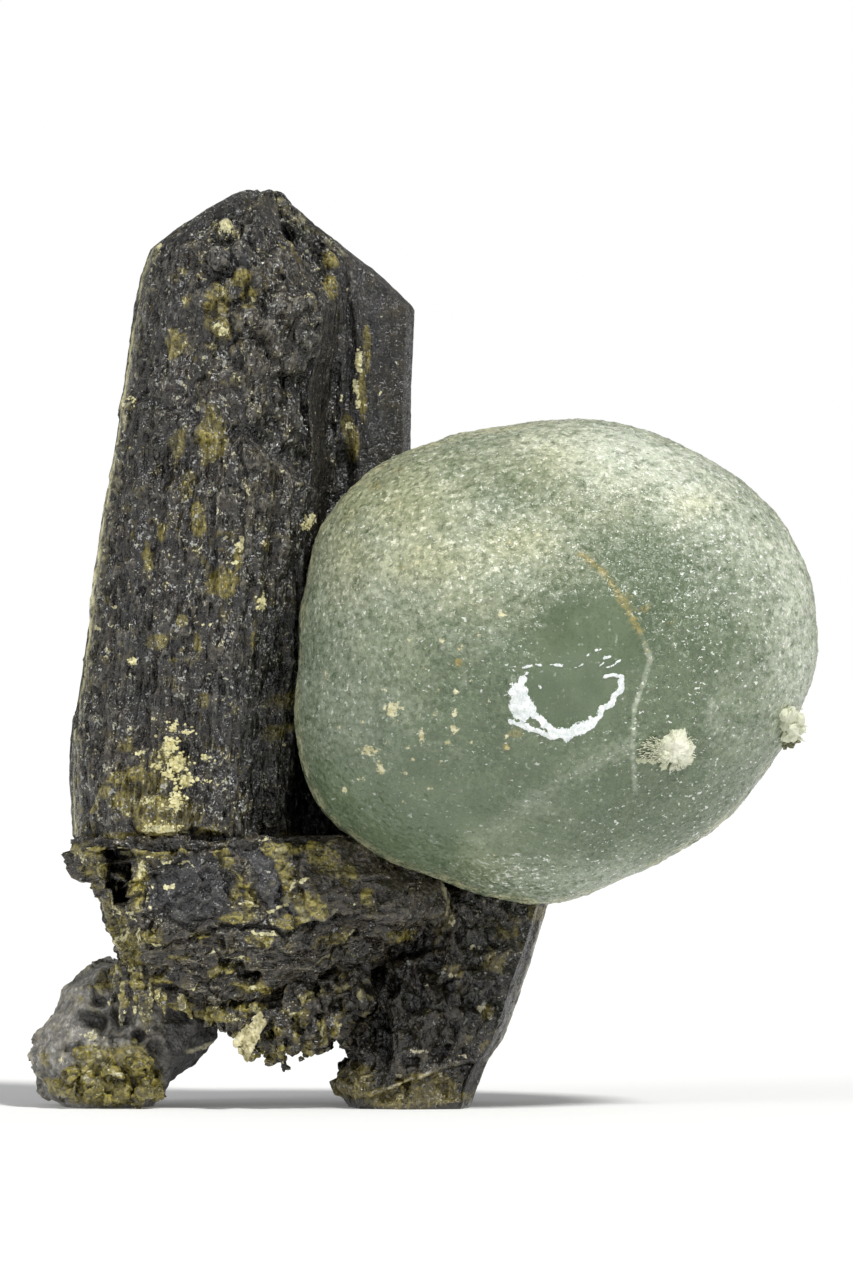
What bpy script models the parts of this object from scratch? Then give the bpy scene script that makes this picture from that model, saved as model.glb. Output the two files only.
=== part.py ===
"""Prehnite ball grown on a group of dark epidote crystals.

Metres, +Z up, the viewer's side is -Y. Lengths below are in millimetres and
are turned into metres by MM. The specimen stands on two small flat cuts, one
under the grey knob at the lower left and one under the rear epidote prism.
"""
import math

import bmesh
import bpy
from mathutils import Matrix, Vector, noise

for old in list(bpy.data.objects):
    bpy.data.objects.remove(old, do_unlink=True)

MM = 0.001

# ---- driving dimensions (mm) -------------------------------------------------
HEIGHT = 46.1            # foot to the top of the tall epidote
SEAM = 0.34              # seam kept between neighbouring crystals
BALL_X, BALL_Y, BALL_Z = 6.7, -4.6, 22.35      # centre of the prehnite ball
BALL_DEPTH = 10.4        # half depth of the ball, front to back
BASE_TOP = 12.78         # top of the cross-lying epidote block
MAIN_FOOT = BASE_TOP + SEAM

# Radius of the ball's outline every 15 degrees, anticlockwise from +X.
BALL_RADII = (12.9, 13.2, 13.2, 12.85, 12.4, 12.2, 12.0, 12.0,
              12.6, 13.3, 13.5, 13.1, 12.95, 13.5, 13.9, 13.3,
              12.45, 12.2, 12.05, 11.45, 11.25, 11.5, 11.75, 12.25)

# Tall epidote: height, left edge, right edge, depth factor.
MAIN_ROWS = (
    (MAIN_FOOT, -17.45, -1.9, 0.97),
    (15.4, -17.6, -1.6, 1.00),
    (18.4, -17.6, -1.3, 1.00),
    (21.4, -17.1, -1.1, 1.00),
    (24.4, -16.7, -0.9, 1.00),
    (27.4, -16.4, -0.8, 1.00),
    (30.4, -15.9, -0.7, 0.99),
    (31.6, -15.7, -0.6, 0.92),
    (33.4, -15.4, -0.6, 0.92),
    (35.6, -15.1, -0.6, 0.91),
    (37.9, -14.8, -0.5, 0.90),
    (40.1, -14.5, -0.4, 0.88),
    (41.6, -14.2, -1.9, 0.85),
    (43.1, -13.7, -3.8, 0.80),
    (44.3, -12.1, -5.4, 0.68),
    (45.3, -10.3, -6.7, 0.48),
    (HEIGHT - 0.1, -8.9, -7.3, 0.22),
)
# Plan of the tall epidote: share of the width, depth. Two parallel crystals
# overlap here; the notch at 0.72 is the step between them.
MAIN_PLAN = (
    (0.00, 1.0), (0.035, -2.2), (0.14, -4.7), (0.30, -6.0), (0.49, -6.3),
    (0.60, -5.3), (0.675, -3.6), (0.715, -1.4), (0.735, -0.4), (0.86, -0.1),
    (0.97, 0.6), (1.00, 2.0), (0.985, 5.5), (0.87, 8.1), (0.62, 8.7),
    (0.47, 7.8), (0.30, 8.5), (0.10, 7.1), (0.01, 4.2),
)
MAIN_MID_Y = 1.0         # the depth factor works about this plane

# Cross-lying block: height, left edge, right edge, depth factor.
BASE_ROWS = (
    (5.0, -13.4, -6.4, 0.62),
    (5.6, -14.2, -5.2, 0.78),
    (6.5, -14.8, -3.9, 0.90),
    (7.5, -15.4, -1.5, 0.97),
    (8.6, -15.6, -0.1, 1.00),
    (9.8, -15.9, 1.2, 1.00),
    (10.6, -16.0, 1.15, 1.00),
    (11.6, -16.5, 0.4, 0.98),
    (12.0, -17.4, 0.1, 0.97),
    (BASE_TOP, -17.5, -0.4, 0.95),
)
BASE_PLAN = (
    (0.00, -0.6), (0.03, -4.4), (0.12, -6.5), (0.34, -7.3), (0.62, -7.0),
    (0.86, -5.7), (1.00, -3.2), (0.99, 1.6), (0.86, 4.8), (0.52, 6.4),
    (0.20, 6.0), (0.03, 3.6),
)
BASE_MID_Y = -0.3

# Rear prism at the lower right: height, left, right, front, back.
REAR_ROWS = (
    (0.0, -3.7, 2.3, -5.1, 6.2),
    (1.2, -4.2, 2.8, -5.3, 6.6),
    (2.4, -3.3, 3.3, -5.2, 6.9),
    (3.4, -3.9, 4.0, -5.1, 7.1),
    (4.9, -3.6, 4.6, -4.9, 7.4),
    (6.2, -2.8, 5.0, -4.6, 7.7),
    (7.6, -2.4, 5.5, -4.2, 8.0),
    (10.2, -2.0, 6.3, -3.2, 8.4),
    (13.0, -1.0, 7.2, -0.6, 8.7),
    (16.2, 0.4, 7.6, 2.4, 8.6),
    (18.2, 1.8, 6.8, 4.6, 8.0),
)
REAR_PLAN = (
    (0.00, 0.34), (0.10, 0.08), (0.46, 0.00), (0.84, 0.07), (1.00, 0.30),
    (0.97, 0.76), (0.70, 1.00), (0.26, 0.97), (0.02, 0.76),
)

# Grey knob at the lower left, with its bridge to the block.
KNOB_ROWS = (
    (0.0, -18.1, -13.5, -3.6, 3.4),
    (0.5, -18.7, -13.2, -4.1, 3.9),
    (1.3, -19.3, -12.7, -4.5, 4.2),
    (2.6, -19.77, -11.0, -4.7, 4.4),
    (3.5, -19.5, -10.4, -4.7, 4.4),
    (4.3, -18.9, -10.3, -4.6, 4.3),
    (5.2, -18.4, -11.4, -4.3, 4.1),
    (6.0, -17.9, -13.0, -3.8, 3.6),
    (6.7, -16.9, -13.9, -2.9, 2.9),
    (7.1, -16.2, -14.6, -1.8, 1.9),
)
KNOB_PLAN = (
    (0.00, 0.46), (0.05, 0.24), (0.18, 0.08), (0.40, 0.00), (0.66, 0.04),
    (0.88, 0.16), (1.00, 0.38), (0.98, 0.66), (0.82, 0.88), (0.55, 1.00),
    (0.26, 0.95), (0.06, 0.74),
)

# Sheaf on the front of the ball and spray on its right edge.
SHEAF_AT = (5.6, -4.4)   # across and up from the ball's centre
SHEAF_SIZE = (1.75, 1.15, 0.85)    # half width, half height, thickness
SPRAY_ANGLE = -18.0      # degrees below +X, seen from the front
SPRAY_FORWARD = 20.0     # degrees turned toward the viewer
SPRAY_BLADES = 5


def material(name, colour, rough, subsurface=0.0):
    mat = bpy.data.materials.new(name)
    mat.use_nodes = True
    mat.diffuse_color = (*colour, 1.0)
    bsdf = mat.node_tree.nodes["Principled BSDF"]
    bsdf.inputs["Base Color"].default_value = (*colour, 1.0)
    bsdf.inputs["Roughness"].default_value = rough
    bsdf.inputs["Metallic"].default_value = 0.0
    bsdf.inputs["Subsurface Weight"].default_value = subsurface
    return mat


EPIDOTE = material("epidote", (0.085, 0.082, 0.055), 0.38)
EPIDOTE_OLIVE = material("epidote_olive", (0.165, 0.150, 0.062), 0.45)
KNOB_ROCK = material("knob_rock", (0.160, 0.145, 0.082), 0.60)
PREHNITE = material("prehnite", (0.42, 0.50, 0.35), 0.35, 0.3)
PREHNITE_PALE = material("prehnite_pale", (0.86, 0.87, 0.70), 0.45, 0.2)


def add(name, bm, mat):
    """Close the mesh up, face it outward and hang it in the scene."""
    bmesh.ops.recalc_face_normals(bm, faces=bm.faces)
    mesh = bpy.data.meshes.new(name)
    bm.to_mesh(mesh)
    bm.free()
    mesh.materials.append(mat)
    obj = bpy.data.objects.new(name, mesh)
    bpy.context.scene.collection.objects.link(obj)
    return obj


def grown(ring, amount):
    """The ring pushed outward by amount, corner by corner."""
    out = []
    n = len(ring)
    for i in range(n):
        a, b, c = Vector(ring[i - 1]), Vector(ring[i]), Vector(ring[(i + 1) % n])
        e1, e2 = (b - a).normalized(), (c - b).normalized()
        n1, n2 = Vector((e1.y, -e1.x)), Vector((e2.y, -e2.x))
        mid = (n1 + n2).normalized()
        out.append(tuple(b + mid * (amount / max(0.55, mid.dot(n1)))))
    return out


def loft(name, rings, mat, extra=0.0, low=True, high=True):
    """Stack rings of (x, y) at their heights into one closed solid.

    extra grows the whole solid, for the cutters that leave a seam.
    """
    bm = bmesh.new()
    last = len(rings) - 1
    rows = []
    for k, (z, ring) in enumerate(rings):
        if extra:
            ring = grown(ring, extra)
            z += (high * extra if k == last else 0.0) - (low * extra if k == 0 else 0.0)
        rows.append([bm.verts.new((x * MM, y * MM, z * MM)) for x, y in ring])
    n = len(rows[0])
    for lo, hi in zip(rows, rows[1:]):
        for i in range(n):
            j = (i + 1) % n
            bm.faces.new((lo[i], lo[j], hi[j], hi[i]))
    bm.faces.new(list(reversed(rows[0])))
    bm.faces.new(rows[-1])
    bmesh.ops.triangulate(bm, faces=[f for f in bm.faces if len(f.verts) == 4])
    return add(name, bm, mat)


def depth_rings(rows, plan, mid, rough=0.0, seed=0.0):
    """Rings whose plan keeps its depth, scaled about the plane y = mid."""
    rings = []
    for z, left, right, factor in rows:
        ring = []
        for i, (u, y) in enumerate(plan):
            wob = noise.noise(Vector((i * 1.7 + seed, z * 0.23, seed))) * rough
            edge = min(u, 1.0 - u) * 4.0
            x = left + u * (right - left) + wob * min(1.0, edge)
            ring.append((x, mid + (y - mid) * factor + wob))
        rings.append((z, ring))
    return rings


def box_rings(rows, plan, rough=0.0, seed=0.0):
    """Rings whose plan is stretched between given front and back planes."""
    rings = []
    for z, left, right, front, back in rows:
        ring = []
        for i, (u, v) in enumerate(plan):
            wob = noise.noise(Vector((i * 1.9 + seed, z * 0.31, seed))) * rough
            if z < 0.1:
                wob = 0.0
            edge = min(u, 1.0 - u) * 4.0
            ring.append((left + u * (right - left) + wob * min(1.0, edge),
                         front + v * (back - front) + wob))
        rings.append((z, ring))
    return rings


def ball_radius(direction):
    """Distance from the ball's centre to its surface along a unit direction."""
    flat = math.hypot(direction.x, direction.z)
    turn = math.degrees(math.atan2(direction.z, direction.x)) % 360.0
    k = turn / 15.0
    i = int(k) % 24
    t = k - int(k)
    t = t * t * (3.0 - 2.0 * t)
    outline = BALL_RADII[i] * (1.0 - t) + BALL_RADII[(i + 1) % 24] * t
    r = 1.0 / math.sqrt((flat / outline) ** 2 + (direction.y / BALL_DEPTH) ** 2)
    return r


def ball(name, mat, extra=0.0, segments=48, rings=28, lumps=0.0):
    bm = bmesh.new()
    bmesh.ops.create_uvsphere(bm, u_segments=segments, v_segments=rings, radius=1.0,
                              matrix=Matrix.Rotation(math.radians(90.0), 4, "X"))
    centre = Vector((BALL_X, BALL_Y, BALL_Z))
    for v in bm.verts:
        d = v.co.normalized()
        lump = noise.noise(d * 3.1) * lumps
        v.co = (centre + d * (ball_radius(d) + lump + extra)) * MM
    bmesh.ops.triangulate(bm, faces=bm.faces)
    return add(name, bm, mat)


def cut(obj, cutters):
    """Seat obj against its neighbours: each cutter is a grown copy of one."""
    for tool in cutters:
        tool.hide_render = True
        tool.display_type = "WIRE"
        mod = obj.modifiers.new("seat " + tool.name, "BOOLEAN")
        mod.operation = "DIFFERENCE"
        mod.solver = "EXACT"
        mod.object = tool


main_rings = depth_rings(MAIN_ROWS, MAIN_PLAN, MAIN_MID_Y, 0.35, 3.0)
base_rings = depth_rings(BASE_ROWS, BASE_PLAN, BASE_MID_Y, 0.40, 8.0)
rear_rings = box_rings(REAR_ROWS, REAR_PLAN, 0.35, 5.0)
knob_rings = box_rings(KNOB_ROWS, KNOB_PLAN, 0.35, 11.0)

main_epidote = loft("main_epidote", main_rings, EPIDOTE)
base_epidote = loft("base_epidote", base_rings, EPIDOTE_OLIVE)
rear_epidote = loft("rear_epidote", rear_rings, EPIDOTE)
knob = loft("matrix_knob", knob_rings, KNOB_ROCK)
prehnite_ball = ball("prehnite_ball", PREHNITE, lumps=0.12)

main_seat = loft("main_seat", main_rings, EPIDOTE, SEAM)
base_seat = loft("base_seat", base_rings, EPIDOTE, SEAM)
ball_seat = ball("ball_seat", PREHNITE, SEAM + 0.1, 40, 24, 0.12)

cut(prehnite_ball, [main_seat, base_seat])
cut(rear_epidote, [main_seat, base_seat, ball_seat])
cut(knob, [base_seat])


def on_ball(across, up):
    """Front point of the ball's surface, and its outward direction."""
    y = -BALL_DEPTH * math.sqrt(max(0.0, 1.0 - (across / 12.9) ** 2 - (up / 12.0) ** 2))
    d = Vector((across, y, up)).normalized()
    p = Vector((BALL_X, BALL_Y, BALL_Z)) + d * ball_radius(d)
    n = Vector((across / 12.9 ** 2, y / BALL_DEPTH ** 2, up / 12.0 ** 2)).normalized()
    return p, n


def fan(name, point, normal, up, half_w, half_h, thick, points, mat):
    """Low fan of blades: an outline with a toothed top side, domed outward."""
    side = up.cross(normal).normalized()
    top = normal.cross(side).normalized()
    bm = bmesh.new()
    rows = []
    for lift, shrink in ((SEAM, 1.0), (SEAM + 0.45 * thick, 0.96), (SEAM + thick, 0.55)):
        row = []
        for k in range(points):
            a = 2.0 * math.pi * k / points
            tooth = 1.0 + (0.10 if k % 2 else -0.08) * (1.0 if math.sin(a) > -0.2 else 0.3)
            u = half_w * math.cos(a) * shrink * tooth
            v = half_h * math.sin(a) * shrink * tooth
            p = point + side * u + top * v + normal * lift
            row.append(bm.verts.new(p * MM))
        rows.append(row)
    for lo, hi in zip(rows, rows[1:]):
        for i in range(points):
            j = (i + 1) % points
            bm.faces.new((lo[i], lo[j], hi[j], hi[i]))
    bm.faces.new(list(reversed(rows[0])))
    bm.faces.new(rows[-1])
    bmesh.ops.triangulate(bm, faces=[f for f in bm.faces if len(f.verts) == 4])
    return add(name, bm, mat)


sheaf_point, sheaf_normal = on_ball(*SHEAF_AT)
fan("front_sheaf", sheaf_point, sheaf_normal, Vector((0.15, 0.0, 1.0)),
    *SHEAF_SIZE, 20, PREHNITE_PALE)

# The spray: tapered blades that fan out of one root, joined in one solid.
a, f = math.radians(SPRAY_ANGLE), math.radians(SPRAY_FORWARD)
spray_dir = Vector((math.cos(a) * math.cos(f), -math.sin(f), math.sin(a) * math.cos(f)))
spray_root = (Vector((BALL_X, BALL_Y, BALL_Z))
              + spray_dir * (ball_radius(spray_dir) + 0.25))
along = Vector((-math.sin(a), 0.0, math.cos(a)))


def blade(name, root, axis, length, wide, thick, mat):
    side = axis.cross(Vector((0.0, 1.0, 0.0))).normalized()
    deep = axis.cross(side).normalized()
    bm = bmesh.new()
    rows = []
    for t, w in ((0.0, 0.8), (0.55, 1.0), (0.85, 0.75), (1.0, 0.25)):
        rows.append([bm.verts.new((root + axis * (length * t)
                                   + side * (math.cos(q) * wide * w)
                                   + deep * (math.sin(q) * thick * w)) * MM)
                     for q in (math.radians(60.0 * k) for k in range(6))])
    for lo, hi in zip(rows, rows[1:]):
        for i in range(6):
            j = (i + 1) % 6
            bm.faces.new((lo[i], lo[j], hi[j], hi[i]))
    bm.faces.new(list(reversed(rows[0])))
    bm.faces.new(rows[-1])
    bmesh.ops.triangulate(bm, faces=[g for g in bm.faces if len(g.verts) == 4])
    return add(name, bm, mat)


edge_spray = None
for k in range(SPRAY_BLADES):
    lean = (k - (SPRAY_BLADES - 1) / 2.0) * 0.30
    axis = (spray_dir * 0.62 + along * (0.35 + lean) + Vector((0.0, -0.25, 0.0))).normalized()
    root = spray_root + along * (-0.72 + 0.32 * k)
    one = blade("edge_spray" if k == 0 else "spray_blade_%d" % k,
                root, axis, 0.80 + 0.10 * (k % 3), 0.36, 0.55, PREHNITE_PALE)
    if edge_spray is None:
        edge_spray = one
    else:
        one.hide_render = True
        one.display_type = "WIRE"
        mod = edge_spray.modifiers.new("join %d" % k, "BOOLEAN")
        mod.operation = "UNION"
        mod.solver = "EXACT"
        mod.object = one
cut(edge_spray, [ball("spray_seat", PREHNITE, SEAM + 0.04, lumps=0.12)])

# ---- stand the specimen with the middle of its outline over the origin --------
bpy.context.view_layer.update()
graph = bpy.context.evaluated_depsgraph_get()
lo = Vector((1e9, 1e9, 1e9))
hi = -lo
for obj in bpy.data.objects:
    if obj.hide_render:
        continue
    shape = obj.evaluated_get(graph).to_mesh()
    for v in shape.vertices:
        for i in range(3):
            lo[i] = min(lo[i], v.co[i])
            hi[i] = max(hi[i], v.co[i])
shift = Vector((-(lo.x + hi.x) / 2.0, -(lo.y + hi.y) / 2.0, -lo.z))
stand = bpy.data.objects.new("specimen", None)
bpy.context.scene.collection.objects.link(stand)
stand.location = shift
for obj in list(bpy.data.objects):
    if obj is not stand:
        obj.parent = stand
bpy.context.view_layer.update()
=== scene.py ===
import math

import bpy
import numpy as np
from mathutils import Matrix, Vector, noise


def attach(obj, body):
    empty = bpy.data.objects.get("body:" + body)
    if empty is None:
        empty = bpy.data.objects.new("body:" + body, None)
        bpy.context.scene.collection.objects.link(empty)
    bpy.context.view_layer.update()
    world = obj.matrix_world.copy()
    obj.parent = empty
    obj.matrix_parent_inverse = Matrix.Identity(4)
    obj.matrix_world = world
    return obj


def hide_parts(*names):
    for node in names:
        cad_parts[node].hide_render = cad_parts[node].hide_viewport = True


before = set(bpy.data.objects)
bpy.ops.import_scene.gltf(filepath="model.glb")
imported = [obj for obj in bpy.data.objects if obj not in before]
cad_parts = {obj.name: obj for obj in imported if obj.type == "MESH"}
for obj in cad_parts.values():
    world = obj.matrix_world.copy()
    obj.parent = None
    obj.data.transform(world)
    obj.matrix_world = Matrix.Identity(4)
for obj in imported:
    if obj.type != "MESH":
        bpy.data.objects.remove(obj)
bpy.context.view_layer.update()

# Looks of the prehnite ball on epidote: fine meshes, materials, light and camera.
# Shapes are worked out in millimetres in the design frame (x across, y in depth,
# z up) and turned into metres in the row frame by place(). px() and py() turn x
# and z into the photograph's own 853 x 1280 scale, 0.05 mm a step, so that a
# feature seen in the photograph can be named by where it is seen.
SHIFT = np.array([0.06, 3.06, 0.0])     # design frame to row frame, mm
STEP = 0.05                             # mm for one step of the photograph


def px(x):
    return 422.5 + x / STEP


def py(z):
    return 1108.0 - z / STEP


def at(x, y):
    """Design x, z in mm of a place in the photograph."""
    return (x - 422.5) * STEP, (1108.0 - y) * STEP


# ---------------------------------------------------------------- noise --------
def _hash(i, j, k, s):
    h = (i * 73856093) ^ (j * 19349663) ^ (k * 83492791) ^ (s * 40503)
    h = h & 0xffffffff
    h = h ^ (h >> 15)
    h = (h * 0x2c1b3c6d) & 0xffffffff
    h = h ^ (h >> 12)
    h = (h * 0x297a2d39) & 0xffffffff
    return h ^ (h >> 15)


def perlin(p, seed=0):
    """Smooth noise, about -1 to 1, at the rows of p."""
    p = np.asarray(p, float)
    f = np.floor(p).astype(np.int64)
    t = p - f
    u = t * t * t * (t * (t * 6 - 15) + 10)
    out = np.zeros(p.shape[:-1])
    for a in (0, 1):
        wa = u[..., 0] if a else 1 - u[..., 0]
        for b in (0, 1):
            wb = u[..., 1] if b else 1 - u[..., 1]
            for c in (0, 1):
                wc = u[..., 2] if c else 1 - u[..., 2]
                h = _hash(f[..., 0] + a, f[..., 1] + b, f[..., 2] + c, seed)
                g0 = (h & 1023) / 511.5 - 1
                g1 = ((h >> 10) & 1023) / 511.5 - 1
                g2 = ((h >> 20) & 1023) / 511.5 - 1
                out += wa * wb * wc * (g0 * (t[..., 0] - a) + g1 * (t[..., 1] - b)
                                       + g2 * (t[..., 2] - c))
    return out * 1.35


def fractal(p, seed=0, octaves=3, gain=0.5):
    out, amp = 0.0, 1.0
    p = np.asarray(p, float)
    for k in range(octaves):
        out = out + perlin(p * (2.03 ** k), seed + 17 * k) * amp
        amp *= gain
    return out


def cells(p, seed=0):
    """Distances to the nearest two of many scattered points, the nearest one's
    number and the way from it."""
    p = np.asarray(p, float)
    f = np.floor(p).astype(np.int64)
    d1 = np.full(p.shape[:-1], 9.0)
    d2 = np.full(p.shape[:-1], 9.0)
    who = np.zeros(p.shape[:-1])
    way = np.zeros(p.shape)
    for a in (-1, 0, 1):
        for b in (-1, 0, 1):
            for c in (-1, 0, 1):
                i, j, k = f[..., 0] + a, f[..., 1] + b, f[..., 2] + c
                h = _hash(i, j, k, seed)
                q = np.stack([i + (h & 1023) / 1023.0, j + ((h >> 10) & 1023) / 1023.0,
                              k + ((h >> 20) & 1023) / 1023.0], -1)
                v = p - q
                d = np.sqrt((v ** 2).sum(-1))
                near = d < d1
                d2 = np.where(near, d1, np.minimum(d2, d))
                who = np.where(near, ((h >> 7) & 4095) / 4095.0, who)
                way = np.where(near[..., None], v, way)
                d1 = np.where(near, d, d1)
    return d1, d2, who, way


def chips(P, size, seed, lean=1.0, step=0.7):
    """Broken rock: every cell is a flat face with its own lean and height."""
    d1, d2, who, way = cells(P / np.asarray(size, float), seed)
    t = np.stack([np.cos(who * 46.0), np.cos(who * 97.0 + 1.0), np.cos(who * 151.0 + 2.0)], -1)
    return (way * t).sum(-1) * lean + (who - 0.5) * step


def knobs(P, size, seed, wide=0.62):
    """Rounded grains side by side, 0 to 1, each with its own height."""
    d1, d2, who, way = cells(P / np.asarray(size, float), seed)
    return np.sqrt(np.clip(1 - (d1 / wide) ** 2, 0, 1)) * (0.4 + 0.6 * who)


def smooth(lo, hi, v):
    t = np.clip((v - lo) / (hi - lo), 0.0, 1.0)
    return t * t * (3 - 2 * t)


def stack(*parts):
    return np.stack(np.broadcast_arrays(*parts), -1)


def blob(X, Y, x, y, rx, ry, soft=0.35):
    """1 inside an ellipse of the photograph's scale, 0 outside, with a soft edge."""
    d = np.sqrt(((X - x) / rx) ** 2 + ((Y - y) / ry) ** 2)
    return 1 - smooth(1 - soft, 1 + soft, d)


def patches(X, Y, marks):
    """Cone-shaped fields, 0.5 at each mark's outline, for materials to cut crisply."""
    out = np.zeros(X.shape)
    for x, y, rx, ry, a in marks:
        d = np.sqrt(((X - x) / rx) ** 2 + ((Y - y) / ry) ** 2)
        out = np.maximum(out, np.clip((1.7 - d) / 1.4, 0, 1) * a)
    return out


def strokes(X, Y, marks):
    """The same for lines: (points, half width, amount)."""
    out = np.zeros(X.shape)
    for points, w, a in marks:
        out = np.maximum(out, np.clip((2.0 - line_distance(X, Y, points) / w) / 2.0, 0, 1) * a)
    return out


def line_distance(X, Y, points):
    """Distance in photograph steps to a broken line."""
    best = np.full(X.shape, 1e9)
    for (x0, y0), (x1, y1) in zip(points, points[1:]):
        dx, dy = x1 - x0, y1 - y0
        t = np.clip(((X - x0) * dx + (Y - y0) * dy) / (dx * dx + dy * dy), 0, 1)
        best = np.minimum(best, np.hypot(X - x0 - t * dx, Y - y0 - t * dy))
    return best


# ---------------------------------------------------------------- meshes -------
def place(P):
    return (np.asarray(P, float) + SHIFT) * 0.001


def make(name, verts, faces, shade=True):
    """Mesh object from mm vertices and faces, a list of arrays of one size each."""
    mesh = bpy.data.meshes.new(name)
    co = place(verts)
    if isinstance(faces, np.ndarray):
        faces = [faces]
    sizes = np.concatenate([np.full(len(f), f.shape[1]) for f in faces])
    loops = np.concatenate([f.reshape(-1) for f in faces]).astype(np.int32)
    mesh.vertices.add(len(co))
    mesh.vertices.foreach_set("co", co.astype(np.float32).reshape(-1))
    mesh.loops.add(len(loops))
    mesh.loops.foreach_set("vertex_index", loops)
    mesh.polygons.add(len(sizes))
    mesh.polygons.foreach_set("loop_start", (np.cumsum(sizes) - sizes).astype(np.int32))
    mesh.update(calc_edges=True)
    mesh.validate()
    mesh.polygons.foreach_set("use_smooth", np.full(len(mesh.polygons), shade))
    obj = bpy.data.objects.new(name, mesh)
    bpy.context.scene.collection.objects.link(obj)
    return obj


def give(obj, **layers):
    """Float layers on the vertices, for the materials to read."""
    for key, values in layers.items():
        att = obj.data.attributes.new(key, "FLOAT", "POINT")
        v = np.zeros(len(obj.data.vertices), np.float32)
        values = np.asarray(values, float).reshape(-1)
        v[:len(values)] = values
        att.data.foreach_set("value", v)


def ring_corners(rows, plan, kind, mid=0.0, rough=0.0, seed=0.0):
    """The same rings of corners as the solid's, (rows, corners, 3) in mm."""
    out = []
    for row in rows:
        z, left, right = row[:3]
        ring = []
        for i, (u, v) in enumerate(plan):
            if kind == "depth":
                w = noise.noise(Vector((i * 1.7 + seed, z * 0.23, seed))) * rough
                y = mid + (v - mid) * row[3] + w
            else:
                w = noise.noise(Vector((i * 1.9 + seed, z * 0.31, seed))) * rough
                if z < 0.1:
                    w = 0.0
                y = row[3] + v * (row[4] - row[3]) + w
            edge = min(u, 1.0 - u) * 4.0
            ring.append((left + u * (right - left) + w * min(1.0, edge), y, z))
        out.append(ring)
    return np.array(out)


def fine_rings(C, columns, spacing, front_share=1.7, soften=0.0):
    """Resample corner rings to a fine grid, denser where it faces the viewer."""
    rows, n, _ = C.shape
    mean = C.mean(0)
    nxt = np.roll(mean, -1, 0)
    length = np.linalg.norm(nxt - mean, axis=1)
    front = (-(nxt - mean)[:, 0] / np.maximum(length, 1e-6))   # edge runs +x at the front
    weight = length * np.where(front < 0.15, front_share, 1.0)
    share = np.maximum(2, np.round(weight / weight.sum() * columns).astype(int))
    cols = []
    arc = []
    run = 0.0
    for i in range(n):
        a, b = C[:, i], C[:, (i + 1) % n]
        for k in range(share[i]):
            t = k / share[i]
            cols.append(a * (1 - t) + b * t)
            arc.append(run + t * length[i])
        run += length[i]
    G = np.stack(cols, 1)
    arc = np.array(arc)
    if soften:
        for _ in range(int(soften)):
            G = 0.5 * G + 0.25 * (np.roll(G, 1, 1) + np.roll(G, -1, 1))
    d = np.linalg.norm(G[1:] - G[:-1], axis=2).mean(1)
    v = np.concatenate([[0], np.cumsum(d)])
    count = max(3, int(round(v[-1] / spacing)))
    w = np.linspace(0, v[-1], count + 1)
    idx = np.clip(np.searchsorted(v, w, side="right") - 1, 0, rows - 2)
    t = ((w - v[idx]) / (v[idx + 1] - v[idx]))[:, None, None]
    return G[idx] * (1 - t) + G[idx + 1] * t, arc, w


def grid_normals(P):
    du = np.roll(P, -1, 1) - np.roll(P, 1, 1)
    dv = np.gradient(P, axis=0)
    n = np.cross(du, dv)
    return n / np.maximum(np.linalg.norm(n, axis=-1, keepdims=True), 1e-9)


def grid_relief(P, N, reach):
    """How far a grid's points lie under (above 0) or over their surroundings, mm."""
    A = P
    for _ in range(reach):
        A = 0.5 * A + 0.25 * (np.roll(A, 1, 1) + np.roll(A, -1, 1))
        up = np.concatenate([A[1:], A[-1:]])
        down = np.concatenate([A[:1], A[:-1]])
        A = 0.5 * A + 0.25 * (up + down)
    return ((A - P) * N).sum(-1)


def mesh_relief(P, quads, N, reach):
    """The same for a mesh of quads."""
    i = np.concatenate([quads, np.roll(quads, 1, 1)], 1).reshape(-1)
    j = np.concatenate([np.roll(quads, 1, 1), quads], 1).reshape(-1)
    count = np.maximum(np.bincount(i, minlength=len(P)), 1)
    A = P
    for _ in range(reach):
        near = np.stack([np.bincount(i, weights=A[j, k], minlength=len(P)) for k in range(3)], 1)
        A = 0.5 * A + 0.5 * near / count[:, None]
    return ((A - P) * N).sum(1)


def from_side(P, side):
    """Photograph steps from a grid's left (-1) or right (1) outline, row by row."""
    ends = P[..., 0].min(axis=1) if side < 0 else P[..., 0].max(axis=1)
    k = np.ones(7) / 7
    ends = np.convolve(np.pad(ends, 3, mode="edge"), k, mode="valid")
    return np.abs(P[..., 0] - ends[:, None]) / STEP


def grid_object(name, P):
    rows, cols, _ = P.shape
    i = (np.arange(rows - 1) * cols)[:, None]
    j = np.arange(cols)[None, :]
    j2 = (j + 1) % cols
    quads = np.stack([i + j, i + j2, i + cols + j2, i + cols + j], -1).reshape(-1, 4)
    verts = P.reshape(-1, 3)
    n = len(verts)
    verts = np.concatenate([verts, [P[0].mean(0)], [P[-1].mean(0)]])
    j, j2 = j[0], j2[0]
    top = (rows - 1) * cols
    low = np.stack([np.full(cols, n), j2, j], -1)
    high = np.stack([np.full(cols, n + 1), top + j, top + j2], -1)
    return make(name, verts, [quads, low, high])


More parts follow.
